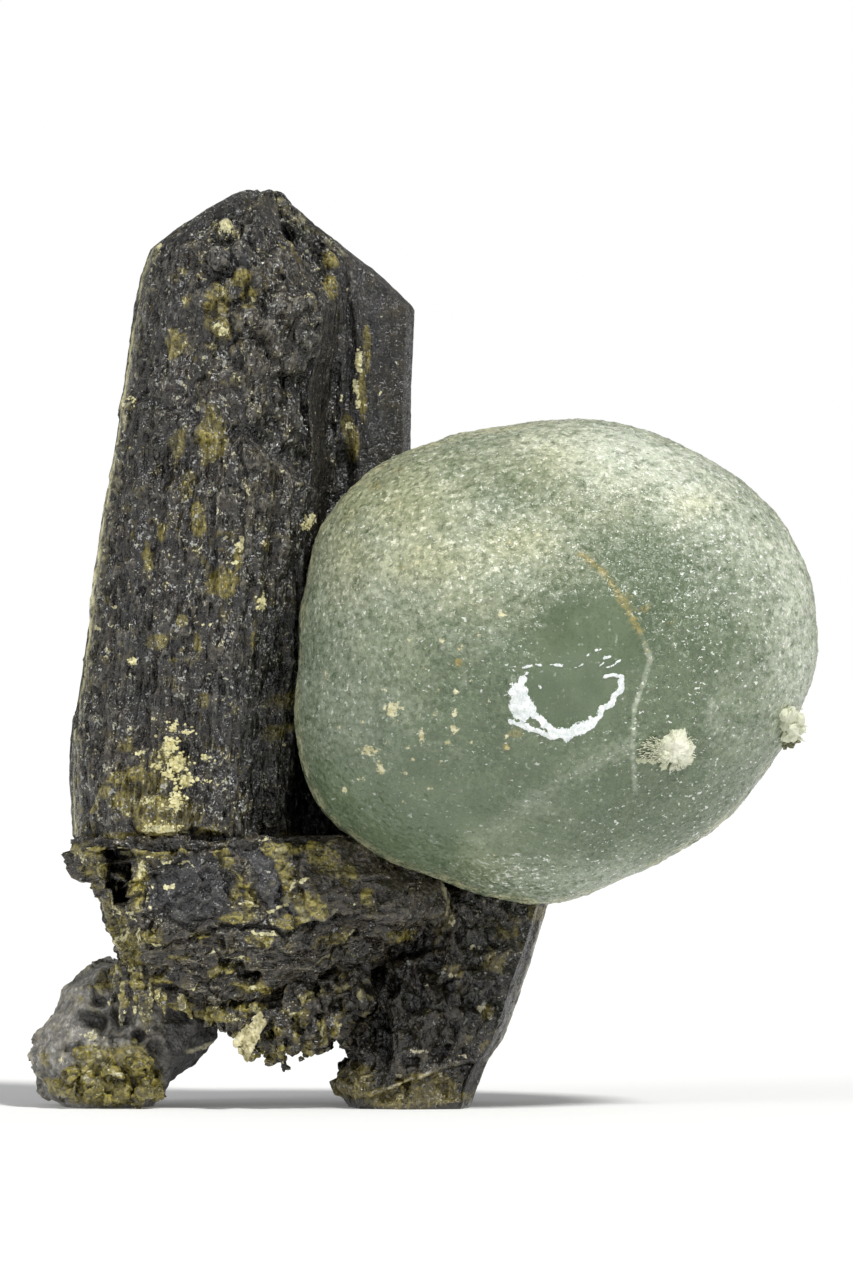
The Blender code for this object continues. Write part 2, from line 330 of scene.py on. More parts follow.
# ---------------------------------------------------------------- materials ----
class Nodes:
    """Short way to write a node tree."""

    def __init__(self, name):
        self.mat = bpy.data.materials.new(name)
        self.mat.use_nodes = True
        self.tree = self.mat.node_tree
        self.bsdf = self.tree.nodes["Principled BSDF"]
        coord = self.tree.nodes.new("ShaderNodeTexCoord")
        self.mm = self.vec("SCALE", coord.outputs["Object"], scale=1000.0)

    def put(self, socket, value):
        if isinstance(value, bpy.types.NodeSocket):
            self.tree.links.new(value, socket)
        elif value is not None:
            socket.default_value = value

    def math(self, op, a, b=None, clamp=False):
        n = self.tree.nodes.new("ShaderNodeMath")
        n.operation = op
        n.use_clamp = clamp
        self.put(n.inputs[0], a)
        self.put(n.inputs[1], b)
        return n.outputs[0]

    def vec(self, op, a, b=None, scale=None):
        n = self.tree.nodes.new("ShaderNodeVectorMath")
        n.operation = op
        self.put(n.inputs[0], a)
        if b is not None:
            self.put(n.inputs[1], b)
        if scale is not None:
            self.put(n.inputs["Scale"], scale)
        return n.outputs[0]

    def layer(self, key):
        n = self.tree.nodes.new("ShaderNodeAttribute")
        n.attribute_type = "GEOMETRY"
        n.attribute_name = key
        return n.outputs["Fac"]

    def noise(self, scale, detail=2.0, rough=0.5, squash=None, seed=0.0):
        n = self.tree.nodes.new("ShaderNodeTexNoise")
        v = self.mm if squash is None else self.vec("MULTIPLY", self.mm, squash)
        if seed:
            v = self.vec("ADD", v, (seed, seed * 0.7, -seed))
        self.put(n.inputs["Vector"], v)
        n.inputs["Scale"].default_value = scale
        n.inputs["Detail"].default_value = detail
        n.inputs["Roughness"].default_value = rough
        return n.outputs["Fac"]

    def voronoi(self, scale, squash=None, feature="F1", seed=0.0, jitter=1.0):
        n = self.tree.nodes.new("ShaderNodeTexVoronoi")
        n.feature = feature
        v = self.mm if squash is None else self.vec("MULTIPLY", self.mm, squash)
        if seed:
            v = self.vec("ADD", v, (seed, seed * 0.7, -seed))
        self.put(n.inputs["Vector"], v)
        n.inputs["Scale"].default_value = scale
        n.inputs["Randomness"].default_value = jitter
        return n

    def ramp(self, value, lo, hi, out_lo=0.0, out_hi=1.0, mode="SMOOTHSTEP"):
        n = self.tree.nodes.new("ShaderNodeMapRange")
        n.interpolation_type = mode
        self.put(n.inputs["Value"], value)
        n.inputs["From Min"].default_value = lo
        n.inputs["From Max"].default_value = hi
        n.inputs["To Min"].default_value = out_lo
        n.inputs["To Max"].default_value = out_hi
        return n.outputs["Result"]

    def mix(self, fac, a, b, blend="MIX"):
        n = self.tree.nodes.new("ShaderNodeMix")
        n.data_type = "RGBA"
        n.blend_type = blend
        n.clamp_factor = True
        self.put(n.inputs["Factor"], fac)
        for socket, v in ((n.inputs[6], a), (n.inputs[7], b)):
            self.put(socket, (*v, 1.0) if isinstance(v, tuple) and len(v) == 3 else v)
        return n.outputs[2]

    def facets(self, scale, tilt, squash=None, seed=0.0, amount=None, broad=0.0):
        """Normals tilted at random, cell by cell, like small crystal faces."""
        v = self.voronoi(scale, squash, seed=seed)
        lean = self.vec("SUBTRACT", v.outputs["Color"], (0.5, 0.5, 0.5))
        lean = self.vec("SCALE", lean, scale=tilt)
        if broad:
            big = self.voronoi(scale * 0.33, squash, seed=seed + 5.0)
            more = self.vec("SUBTRACT", big.outputs["Color"], (0.5, 0.5, 0.5))
            lean = self.vec("ADD", lean, self.vec("SCALE", more, scale=broad))
        if amount is not None:
            n = self.tree.nodes.new("ShaderNodeVectorMath")
            n.operation = "SCALE"
            self.put(n.inputs[0], lean)
            self.put(n.inputs["Scale"], amount)
            lean = n.outputs[0]
        geo = self.tree.nodes.new("ShaderNodeNewGeometry")
        return self.vec("NORMALIZE", self.vec("ADD", geo.outputs["Normal"], lean)), v

    def bump(self, height, strength, distance, normal=None):
        n = self.tree.nodes.new("ShaderNodeBump")
        n.inputs["Strength"].default_value = strength
        n.inputs["Distance"].default_value = distance
        self.put(n.inputs["Height"], height)
        if normal is not None:
            self.put(n.inputs["Normal"], normal)
        return n.outputs["Normal"]


def epidote_material(name, dark, mid, brown, olive, cream, streak=(5.5, 5.5, 0.8), grain=(4.6, 4.6, 2.8),
                     flecks=1.0, rough=(0.09, 0.29), tilt=0.75, bump=0.00018, stray=0.5, ragged=1.5, crowding=0.0,
                     seams=0.0, ridge=(0.165, 0.150, 0.112)):
    """Epidote: dark striated ground, olive see-through patches, cream crusts and
    very many tiny bright specks, partly pale grains and partly painted glints.
    Layers read from the mesh: olive, pale (fields cut at one half), calm (smooth
    face), pit (painted shade in hollows, with some darker spots),
    edge (painted highlight on ridges), lit (thin painted rim light),
    hue (above 0 slate, below 0 tan)."""
    m = Nodes(name)
    olive_at, pale_at, calm = m.layer("olive"), m.layer("pale"), m.layer("calm")
    pit, lit = m.layer("pit"), m.layer("lit")
    busy = m.math("SUBTRACT", 1.0, calm, clamp=True)
    fine = m.noise(4.6, 2.0, 0.65)
    medium = m.noise(1.7, 4.0, 0.66, seed=3.1)
    broad = m.noise(0.55, 3.0, 0.6, seed=7.7)
    lines = m.noise(1.0, 2.5, 0.68, squash=streak, seed=1.3)
    # dark ground with grey and brown tones
    tone = m.math("ADD", m.math("MULTIPLY", fine, 0.28), m.math("MULTIPLY", lines, 0.37))
    tone = m.math("ADD", tone, m.math("MULTIPLY", medium, 0.35))
    col = m.mix(m.ramp(tone, 0.44, 0.60), dark, mid)
    col = m.mix(m.ramp(medium, 0.50, 0.62, 0.0, 0.6), col, brown)
    hue = m.layer("hue")
    slate = m.mix(m.ramp(tone, 0.42, 0.62), (0.012, 0.012, 0.015), (0.058, 0.058, 0.064))
    col = m.mix(m.math("MULTIPLY", hue, 0.9, clamp=True), col, slate)
    tan = m.mix(m.ramp(tone, 0.42, 0.62), (0.016, 0.012, 0.008), (0.066, 0.051, 0.031))
    col = m.mix(m.math("MULTIPLY", hue, -0.9, clamp=True), col, tan)
    # olive, where it is painted and in stray patches
    own = m.ramp(m.math("ADD", olive_at, m.math("MULTIPLY", m.math("SUBTRACT", medium, 0.5), ragged)),
                 0.36, 0.64)
    wild = m.math("MULTIPLY", m.ramp(broad, 0.50, 0.64), m.ramp(medium, 0.52, 0.60, 0.0, stray))
    amount = m.math("MULTIPLY", m.math("MAXIMUM", own, m.math("MULTIPLY", wild, busy)),
                    m.ramp(fine, 0.34, 0.52, 0.35, 1.0))
    deep = tuple(c * 0.45 for c in olive)
    col = m.mix(m.math("MULTIPLY", amount, 0.9), col, m.mix(m.ramp(lines, 0.38, 0.62), deep, olive))
    # painted highlight: ridges (edge layer) are lightened toward the ridge colour
    edge = m.math("MULTIPLY", m.layer("edge"), m.ramp(fine, 0.40, 0.58, 0.05, 1.0))
    col = m.mix(m.math("MULTIPLY", edge, 0.70), col,
                m.mix(amount, ridge, tuple(min(1.0, c * 1.6 + 0.02) for c in olive)))
    if seams:
        # painted highlights: thin bright lines along the parting
        run = m.math("ABSOLUTE", m.math("SUBTRACT", m.noise(1.0, 2.0, 0.55, squash=(0.5, 0.5, 3.4),
                                                            seed=31.0), 0.5))
        line = m.math("MULTIPLY", m.ramp(run, 0.004, 0.016, seams, 0.0),
                      m.ramp(m.noise(1.1, 2.0, 0.6, seed=37.0), 0.50, 0.58))
        col = m.mix(m.math("MULTIPLY", line, busy), col, (0.300, 0.275, 0.190))
    # painted shade: hollows, creases and gaps are darkened, with some darker spots
    col = m.mix(m.math("MULTIPLY", pit, 0.88, clamp=True), col, tuple(min(c * 0.3, 0.008) for c in dark))
    # very many tiny bright specks, partly pale grains and partly painted glints, thick in some places and thin in
    # others
    crowd = m.math("MULTIPLY", m.ramp(m.noise(1.1, 4.0, 0.68, seed=11.0), 0.38, 0.62,
                                      crowding - 0.025, 0.115 + crowding), busy)
    level = m.math("ADD", m.noise(5.2, 1.5, 0.6, seed=5.0), crowd)
    tiny = m.math("MULTIPLY", m.ramp(level, 0.70, 0.745), flecks, clamp=True)
    level = m.math("ADD", m.noise(3.0, 3.5, 0.75, seed=23.0), crowd)
    larger = m.math("MULTIPLY", m.ramp(level, 0.70, 0.73), flecks, clamp=True)
    speck = m.math("MULTIPLY", m.math("MAXIMUM", tiny, larger),
                   m.math("SUBTRACT", 1.0, m.math("MULTIPLY", pit, 0.7), clamp=True))
    bright = m.mix(m.ramp(medium, 0.46, 0.62), (0.46, 0.47, 0.45), tuple(c * 0.9 for c in cream))
    col = m.mix(m.math("MULTIPLY", speck, 0.9), col, bright)
    # cream crusts with ragged edges
    crust = m.ramp(m.math("ADD", pale_at, m.math("MULTIPLY", m.math("SUBTRACT", fine, 0.5), 1.5)),
                   0.50, 0.62)
    col = m.mix(crust, col, m.mix(m.ramp(fine, 0.40, 0.62), tuple(c * 0.55 for c in cream), cream))
    # painted rim light: a thin pale rim where the light catches an outline or edge
    col = m.mix(m.math("MULTIPLY", lit, m.ramp(fine, 0.32, 0.50, 0.55, 1.0)), col,
                tuple(min(1.0, c * 1.02 + 0.02) for c in cream))
    m.put(m.bsdf.inputs["Base Color"], col)
    r = m.ramp(m.noise(2.0, 2.0, 0.6, seed=5.0), 0.35, 0.65, rough[0], rough[1])
    r = m.math("ADD", r, m.math("MULTIPLY", crust, 0.25), clamp=True)
    m.put(m.bsdf.inputs["Roughness"], r)
    m.bsdf.inputs["IOR"].default_value = 1.66
    lean = m.math("ADD", 0.3, m.math("MULTIPLY", busy, 0.7))
    normal, v = m.facets(1.0, tilt, squash=grain, amount=lean, broad=0.75)
    h = m.math("ADD", m.math("MULTIPLY", fine, 0.55), lines)
    h = m.math("ADD", h, m.math("MULTIPLY", medium, 1.8))
    m.put(m.bsdf.inputs["Normal"], m.bump(h, 0.8, bump, normal))
    return m.mat


def prehnite_material():
    """Prehnite: green see-through body under a granular pale druse. Layers:
    haze (druse film with painted sheen), cream, rust, ring (fields cut
    at one half; the ring is a painted reflection), calm (smooth and darker, partly
    painted shade and a painted dark reflection), lit (thin painted rim light)."""
    m = Nodes("prehnite_druse")
    haze, cream_at, rust = m.layer("haze"), m.layer("cream"), m.layer("rust")
    calm, ring, lit, speckle = m.layer("calm"), m.layer("ring"), m.layer("lit"), m.layer("speckle")
    lively = m.math("SUBTRACT", 1.0, calm, clamp=True)
    normal, v = m.facets(1.0, 0.62, squash=(4.6, 4.6, 4.6), amount=m.math(
        "ADD", 0.10, m.math("MULTIPLY", lively, 0.9)))
    sep = m.tree.nodes.new("ShaderNodeSeparateColor")
    m.put(sep.inputs[0], v.outputs["Color"])
    grain = m.noise(4.0, 2.0, 0.7)
    dash = m.noise(1.0, 3.0, 0.7, squash=(1.6, 1.6, 3.2), seed=4.0)
    lumps = m.noise(1.0, 2.0, 0.6, squash=(2.2, 2.2, 3.4), seed=33.0)
    cloud = m.noise(0.7, 3.0, 0.6, seed=9.0)
    # soft haze over the green body, partly the druse's pale film and partly painted sheen, with single grains of the
    # druse in it
    rough_up = m.math("ADD", 0.30, m.math("MULTIPLY", haze, 0.85))
    fleck = m.math("ADD", m.math("MULTIPLY", m.math("SUBTRACT", grain, 0.5), 0.60),
                   m.math("MULTIPLY", m.math("SUBTRACT", sep.outputs[0], 0.5), 0.24))
    fleck = m.math("ADD", fleck, m.math("MULTIPLY", m.math("SUBTRACT", dash, 0.5), 0.70))
    mix = m.math("ADD", haze, m.math("MULTIPLY", fleck, rough_up))
    mix = m.math("ADD", mix, m.math("MULTIPLY", m.math("SUBTRACT", cloud, 0.5), 0.40))
    clump = m.noise(1.0, 4.0, 0.74, squash=(1.35, 1.35, 2.5), seed=15.0)
    mix = m.math("ADD", mix, m.math("MULTIPLY", m.math("SUBTRACT", clump, 0.5),
                                    m.math("MULTIPLY", haze, 2.5)))
    mix = m.math("ADD", mix, m.math("MULTIPLY", m.math("SUBTRACT", lumps, 0.5),
                                    m.math("MULTIPLY", haze, 1.7)))
    mix = m.ramp(mix, 0.08, 1.02, mode="LINEAR")
    mix = m.math("MULTIPLY", mix, m.math("ADD", 0.10, m.math("MULTIPLY", lively, 0.90)))
    body = m.mix(m.ramp(m.noise(0.4, 3.0, 0.5, seed=2.0), 0.4, 0.6), (0.104, 0.146, 0.080),
                 (0.138, 0.184, 0.106))
    body = m.mix(m.math("MULTIPLY", m.ramp(grain, 0.42, 0.62), m.math("MULTIPLY", lively, 0.3)), body,
                 (0.240, 0.285, 0.180))
    warmth = m.layer("warm")
    col = m.mix(mix, m.mix(m.math("MULTIPLY", warmth, 0.5, clamp=True), body, (0.330, 0.345, 0.180)),
                m.mix(warmth, (0.650, 0.700, 0.560), (0.650, 0.650, 0.400)))
    # bright single grains where the druse is thick, partly painted glints, dark gaps between them
    level = m.math("ADD", m.noise(4.4, 2.0, 0.62, seed=19.0), m.math("MULTIPLY", haze, 0.10))
    level = m.math("ADD", level, m.math("MULTIPLY", m.math("SUBTRACT", lumps, 0.5), 0.35))
    col = m.mix(m.math("MULTIPLY", m.ramp(level, 0.655, 0.73), m.ramp(haze, 0.12, 0.5, 0.25, 0.85)), col,
                m.mix(warmth, (0.88, 0.90, 0.80), (0.86, 0.84, 0.58)))
    level = m.math("ADD", m.noise(3.6, 2.5, 0.65, seed=27.0), 0.0)
    gaps = m.math("MULTIPLY", m.ramp(level, 0.60, 0.68, 0.0, 0.55), lively)
    col = m.mix(gaps, col, (0.150, 0.180, 0.115))
    # cream and yellow grains
    field = m.math("ADD", cream_at, m.math("MULTIPLY", m.math("SUBTRACT", grain, 0.5), 1.6))
    field = m.math("ADD", field, m.math("MULTIPLY", m.math("SUBTRACT", dash, 0.5), 1.1))
    col = m.mix(m.ramp(field, 0.46, 0.80, 0.0, 0.9), col,
                m.mix(m.ramp(dash, 0.40, 0.60), (0.52, 0.47, 0.22), (0.84, 0.80, 0.52)))
    field = m.math("ADD", rust, m.math("MULTIPLY", m.math("SUBTRACT", grain, 0.5), 1.3))
    col = m.mix(m.ramp(field, 0.36, 0.85, 0.0, 0.62), col, (0.44, 0.34, 0.10))
    # painted glints: sparkling grains
    level = m.math("ADD", m.noise(1.0, 2.0, 0.6, squash=(3.6, 3.6, 5.2), seed=7.0),
                   m.math("MULTIPLY", speckle, 0.12))
    glint = m.math("MULTIPLY", m.ramp(level, 0.70, 0.74), m.math("MULTIPLY", lively, 0.9))
    col = m.mix(glint, col, (0.84, 0.87, 0.80))
    # painted rim light along the outline
    col = m.mix(m.math("MULTIPLY", lit, m.ramp(grain, 0.35, 0.6, 0.3, 0.9)), col, (0.62, 0.60, 0.36))
    # painted reflection: white ring of the lamp on the front
    field = m.math("ADD", ring, m.math("MULTIPLY", m.math("SUBTRACT", m.noise(3.2, 3.0, 0.65, seed=3.0),
                                                          0.5), 1.1))
    white = m.ramp(field, 0.56, 0.60)
    col = m.mix(white, col, m.mix(m.ramp(grain, 0.35, 0.6), (0.70, 0.76, 0.74), (0.93, 0.95, 0.95)))
    m.put(m.bsdf.inputs["Base Color"], col)
    m.put(m.bsdf.inputs["Roughness"], m.ramp(grain, 0.3, 0.7, 0.18, 0.45))
    m.bsdf.inputs["IOR"].default_value = 1.6
    m.bsdf.inputs["Subsurface Weight"].default_value = 0.2
    m.bsdf.inputs["Subsurface Radius"].default_value = (0.9, 1.1, 0.8)
    m.bsdf.inputs["Subsurface Scale"].default_value = 0.0005
    h = m.math("MULTIPLY", m.math("ADD", grain, m.math("MULTIPLY", dash, 0.8)), lively)
    m.put(m.bsdf.inputs["Normal"], m.bump(h, 0.8, 0.00012, normal))
    return m.mat


def plain_crystal(name, a, b, rough=0.35, subsurface=0.25, scale=5.0, tilt=0.3):
    m = Nodes(name)
    fine = m.noise(scale, 2.0, 0.6)
    normal, v = m.facets(1.0, tilt, squash=(5.0, 5.0, 5.0))
    col = m.mix(m.ramp(fine, 0.3, 0.7), a, b)
    m.put(m.bsdf.inputs["Base Color"], col)
    m.put(m.bsdf.inputs["Roughness"], m.ramp(fine, 0.3, 0.7, rough * 0.7, rough * 1.3))
    m.bsdf.inputs["Subsurface Weight"].default_value = subsurface
    m.bsdf.inputs["Subsurface Radius"].default_value = (1.0, 0.95, 0.7)
    m.bsdf.inputs["Subsurface Scale"].default_value = 0.0005
    m.put(m.bsdf.inputs["Normal"], m.bump(m.noise(scale * 2.5, 3.0, 0.6), 0.4, 0.00008, normal))
    return m.mat


def fibre_material():
    """Cream sheaf: painted highlight along its ridges, brighter in its core (layer glow)."""
    m = Nodes("prehnite_cream")
    fine = m.noise(6.0, 2.0, 0.6)
    glow = m.math("ADD", m.layer("glow"), m.math("MULTIPLY", m.math("SUBTRACT", fine, 0.5), 0.7), clamp=True)
    col = m.mix(glow, (0.50, 0.54, 0.36), (0.97, 0.96, 0.80))
    m.put(m.bsdf.inputs["Base Color"], col)
    m.put(m.bsdf.inputs["Roughness"], m.ramp(fine, 0.3, 0.7, 0.35, 0.6))
    m.put(m.bsdf.inputs["Normal"], m.bump(m.noise(9.0, 2.0, 0.6), 0.3, 0.00005))
    return m.mat


def finish_piece(obj, mat, slot, *nodes):
    obj.data.materials.append(mat)
    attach(obj, "root")
    if nodes:
        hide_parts(*nodes)
    return obj


# ---------------------------------------------------------------- tall epidote -
FOOT = 12.9     # the tall prism runs a little into the block under it
MAIN_ROWS = (
    (FOOT, -17.35, -2.0, 0.96), (13.5, -17.45, -1.9, 0.97), (15.4, -17.6, -1.6, 1.00),
    (18.4, -17.6, -1.3, 1.00), (21.4, -17.1, -1.1, 1.00), (24.4, -16.7, -0.9, 1.00),
    (27.4, -16.4, -0.8, 1.00), (30.4, -15.9, -0.7, 0.99), (31.6, -15.7, -0.6, 0.95),
    (33.4, -15.4, -0.6, 0.94), (35.6, -15.1, -0.6, 0.94), (37.9, -14.8, -0.5, 0.93),
    (40.1, -14.5, -0.4, 0.92), (41.6, -14.2, -1.9, 0.90), (43.1, -13.7, -3.8, 0.86),
    (44.3, -12.1, -5.4, 0.76), (45.3, -10.4, -6.5, 0.60), (45.8, -9.6, -6.9, 0.42),
    (46.0, -8.9, -7.3, 0.16),
)
MAIN_PLAN = (
    (0.00, 1.0), (0.035, -2.2), (0.14, -4.7), (0.30, -6.0), (0.49, -6.3),
    (0.60, -5.3), (0.675, -3.6), (0.715, -1.4), (0.735, -0.4), (0.86, -0.1),
    (0.97, 0.6), (1.00, 2.0), (0.985, 5.5), (0.87, 8.1), (0.62, 8.7),
    (0.47, 7.8), (0.30, 8.5), (0.10, 7.1), (0.01, 4.2),
)


def tall_epidote():
    C = ring_corners(MAIN_ROWS, MAIN_PLAN, "depth", 1.0, 0.35, 3.0)
    P, arc, rise = fine_rings(C, 590, 0.222)
    N = grid_normals(P)
    s = np.broadcast_to(arc[None, :], P.shape[:2])
    z = P[..., 2]
    X, Y = px(P[..., 0]), py(z)
    front = np.clip(-N[..., 1] * 1.6, 0, 1)
    low = smooth(0, 14, Y - np.interp(X, [120, 225, 255, 300, 330, 350],
                                      [385, 430, 441, 470, 489, 497]))
    right_face = smooth(332, 344, X) * smooth(0.0, 0.25, -N[..., 1]) * (1 - 0.6 * smooth(440, 500, Y))
    right_face = np.maximum(right_face, 0.8 * smooth(0.8, 0.97, N[..., 0]))
    h = 0.22 * perlin(stack(s * 0.22, z * 0.09, 0.0), 1)
    # stepped growth, long along the prism
    t = perlin(stack(s * 0.60, z * 0.10, 2.5), 2)
    h += 0.30 * (np.floor(t * 5) / 5 + 0.2 * smooth(0.55, 1.0, (t * 5) % 1.0)) * (1 - 0.5 * right_face)
    # striations: strong low down, faint on the smooth right face
    st = 0.24 * perlin(stack(s * 1.3, z * 0.08, 5.5), 3)
    st += 0.15 * perlin(stack(s * 3.0, z * 0.16, 6.5), 4)
    st += 0.07 * perlin(stack(s * 6.5, z * 0.7, 7.5), 5)
    h += st * (0.35 + 1.15 * low) * (1 - 0.6 * right_face)
    groove = smooth(0.10, 0.32, -st) * (0.3 + 0.7 * low)
    # knobbly upper part of the front
    upper = (1 - low) * (1 - right_face)
    big = knobs(P, (0.85, 0.85, 0.95), 6)
    small = knobs(P, (0.38, 0.38, 0.42), 8, 0.7)
    broken = chips(P, (0.9, 0.9, 1.6), 9, 1.0, 0.5)
    bumpy = 0.30 + 0.70 * np.maximum(blob(X, Y, 268, 300, 62, 120, 0.5), 0.8 * blob(X, Y, 300, 400, 44, 60, 0.5))
    h += (0.66 * big - 0.31) * (0.35 + 0.65 * front) * upper * bumpy
    h += (0.16 * small - 0.07) * (0.40 + 0.60 * upper) * (1 - 0.7 * right_face)
    h += 0.22 * broken * (0.25 + 0.75 * low) * (1 - 0.85 * right_face)
    # the nearer, lower slab of the front and the break at its top
    h += (0.50 * low - 0.15) * front * (1 - smooth(300, 345, X))
    # rounded grains in their own places
    bead = np.zeros(X.shape)
    for x, y, r, up in ((225, 227, 9, .40), (220, 328, 10, .36), (246, 320, 15, .42),
                        (218, 258, 13, .34), (244, 252, 12, .30), (258, 365, 14, .28),
                        (290, 300, 16, .30), (315, 345, 14, .25), (202, 300, 11, .22),
                        (184, 621, 6, .16), (222, 582, 12, .18), (262, 278, 13, .28),
                        (287, 258, 13, .30), (330, 285, 12, .25), (300, 415, 14, .25),
                        (268, 330, 12, .25), (232, 290, 12, .26), (300, 365, 13, .25)):
        d = np.hypot(X - x, (Y - y) * 0.95) / r
        bead = np.maximum(bead, up * np.sqrt(np.clip(1 - d * d, 0, 1)))
    h = np.where(bead > 0.02, h * 0.55 + bead, h) * front + h * (1 - front)
    cut = np.zeros(X.shape)
    for x, y, rx, ry, down in ((284, 232, 9, 10, .55), (270, 300, 6, 20, .30),
                               (262, 345, 5, 14, .30), (318, 400, 18, 44, .60),
                               (322, 520, 16, 40, .45), (300, 385, 18, 9, .35),
                               (272, 432, 9, 12, .45), (345, 470, 8, 26, .55), (268, 357, 6, 8, .4),
                               (302, 455, 18, 10, .45), (312, 560, 14, 26, .45),
                               (320, 250, 8, 10, .25), (237, 300, 5, 12, .25)):
        cut = np.maximum(cut, down * blob(X, Y, x, y, rx, ry, 0.7) * front)
    # long groove with painted shade in it, its raised right lip and the hollow beside the ball, which carries the
    # ball's painted shadow
    gx = np.interp(Y, [540, 620, 700, 760, 835], [296, 284, 268, 262, 258])
    cut = np.maximum(cut, 0.60 * np.exp(-((X - gx) / 8.0) ** 2) * smooth(535, 580, Y)
                     * (1 - smooth(825, 842, Y)) * front)
    # painted shadow of the ball on the prism beside it
    shade = smooth(-8, 10, X - gx) * smooth(560, 640, Y) * front
    h -= 0.26 * smooth(0, 22, X - gx) * smooth(560, 620, Y) * front
    gx = np.interp(Y, [440, 485, 560, 700], [222, 212, 216, 214])
    cut = np.maximum(cut, 0.28 * np.exp(-((X - gx) / 3.2) ** 2) * smooth(430, 470, Y)
                     * (1 - smooth(560, 640, Y)) * front)
    gx = np.interp(Y, [640, 700, 745], [258, 255, 257])
    cut = np.maximum(cut, 0.30 * np.exp(-((X - gx) / 3.5) ** 2) * smooth(630, 650, Y)
                     * (1 - smooth(740, 755, Y)) * front)
    # seam between the two parallel crystals
    gx = np.interp(Y, [230, 345, 430], [338, 352, 345])
    cut = np.maximum(cut, 0.30 * np.exp(-((X - gx) / 5.0) ** 2) * smooth(230, 280, Y)
                     * (1 - smooth(430, 450, Y)) * front)
    # under the slab's upper break
    edge_y = np.interp(X, [120, 225, 255, 300, 330, 350], [385, 430, 441, 470, 489, 497])
    cut = np.maximum(cut, 0.30 * np.exp(-((Y - edge_y + 6) / 5.0) ** 2) * smooth(235, 260, X)
                     * (1 - smooth(340, 352, X)) * front)
    # notches just over the block
    for x, y, rx, ry, down in ((208, 838, 18, 6, .5), (262, 833, 8, 7, .3), (88, 800, 12, 10, .2),
                               (300, 805, 16, 20, .45), (150, 838, 14, 3, .35)):
        cut = np.maximum(cut, down * blob(X, Y, x, y, rx, ry, 0.5) * front)
    h -= cut
    wobble = 4 * perlin(P / 0.5, 34)
    h += 0.42 * blob(X + wobble, Y + wobble, 168, 815, 32, 19, 0.22) * front
    slab = blob(X + wobble, Y, 163, 826, 19, 6.5, 0.30) * front
    lip = line_distance(X, Y, [(95, 817), (104, 803), (112, 789), (126, 777), (142, 770)])
    h += 0.14 * slab + 0.24 * np.exp(-(lip / 4.5) ** 2) * front - 0.30 * blob(X, Y, 90, 800, 14, 13, 0.6) * front
    h += 0.035 * perlin(P / 0.16, 11)
    fade = smooth(0.0, 0.6, rise)[:, None] * 0.8 + 0.2
    fade = fade * (1 - 0.6 * (1 - smooth(0, 18, from_side(P, -1)))) * (1 - 0.6 * (1 - smooth(0, 18, from_side(P, 1))))
    P = P + N * (h * fade)[..., None]
    N2 = grid_normals(P)
    P = P + N2 * (0.02 * perlin(P / 0.11, 12))[..., None]
    P[..., 2] = np.minimum(P[..., 2], 46.25)

    olive = patches(X, Y, (
        (213, 437, 14, 28, 1), (180, 442, 9, 15, .95), (200, 521, 9, 20, .9), (164, 532, 7, 12, .8),
        (225, 584, 17, 15, 1), (184, 621, 6, 6, 1), (159, 642, 12, 8, .95), (200, 645, 6, 22, .7),
        (205, 700, 7, 12, .7), (289, 702, 15, 10, .95), (270, 735, 12, 12, .7), (283, 728, 16, 5, .9),
        (175, 345, 14, 20, .62), (218, 300, 14, 16, .8), (242, 279, 12, 11, .9), (249, 298, 10, 12, .85),
        (209, 318, 8, 14, .95), (222, 310, 8, 10, .9), (284, 244, 9, 7, .6), (331, 258, 8, 9, .95),
        (330, 285, 9, 14, .8), (367, 345, 4, 26, .95), (362, 392, 5, 26, .95), (352, 440, 7, 22, .95),
        (348, 425, 6, 12, 1), (150, 784, 20, 16, .9), (168, 814, 33, 21, 1), (103, 806, 6, 9, .95), (111, 791, 6, 8, .95),
        (125, 779, 11, 7, .95), (140, 772, 12, 8, .95), (130, 798, 17, 14, .85), (128, 838, 30, 8, .8),
        (172, 764, 26, 26, .66), (208, 832, 14, 8, .9), (128, 744, 12, 14, .6),
        (285, 838, 24, 6, .8), (190, 485, 9, 18, .7), (240, 556, 6, 14, .85), (150, 560, 8, 26, .6),
        (290, 600, 7, 18, .5), (140, 410, 8, 10, .5), (160, 470, 8, 12, .5), (250, 640, 7, 14, .6),
        (223, 226, 12, 12, .7), (222, 332, 12, 12, .9), (196, 270, 9, 10, .5), (186, 300, 8, 10, .55),
        (205, 560, 8, 10, .6), (176, 660, 8, 7, .6), (78, 790, 4, 40, .6), (90, 838, 18, 5, .75)))
    paint = smooth(-0.1, 0.25, -N[..., 1])
    olive *= paint
    olive = np.maximum(olive, 0.8 * smooth(0.30, 0.75, perlin(P / np.array([2.2, 2.2, 3.0]), 22))
                       * (1 - paint))
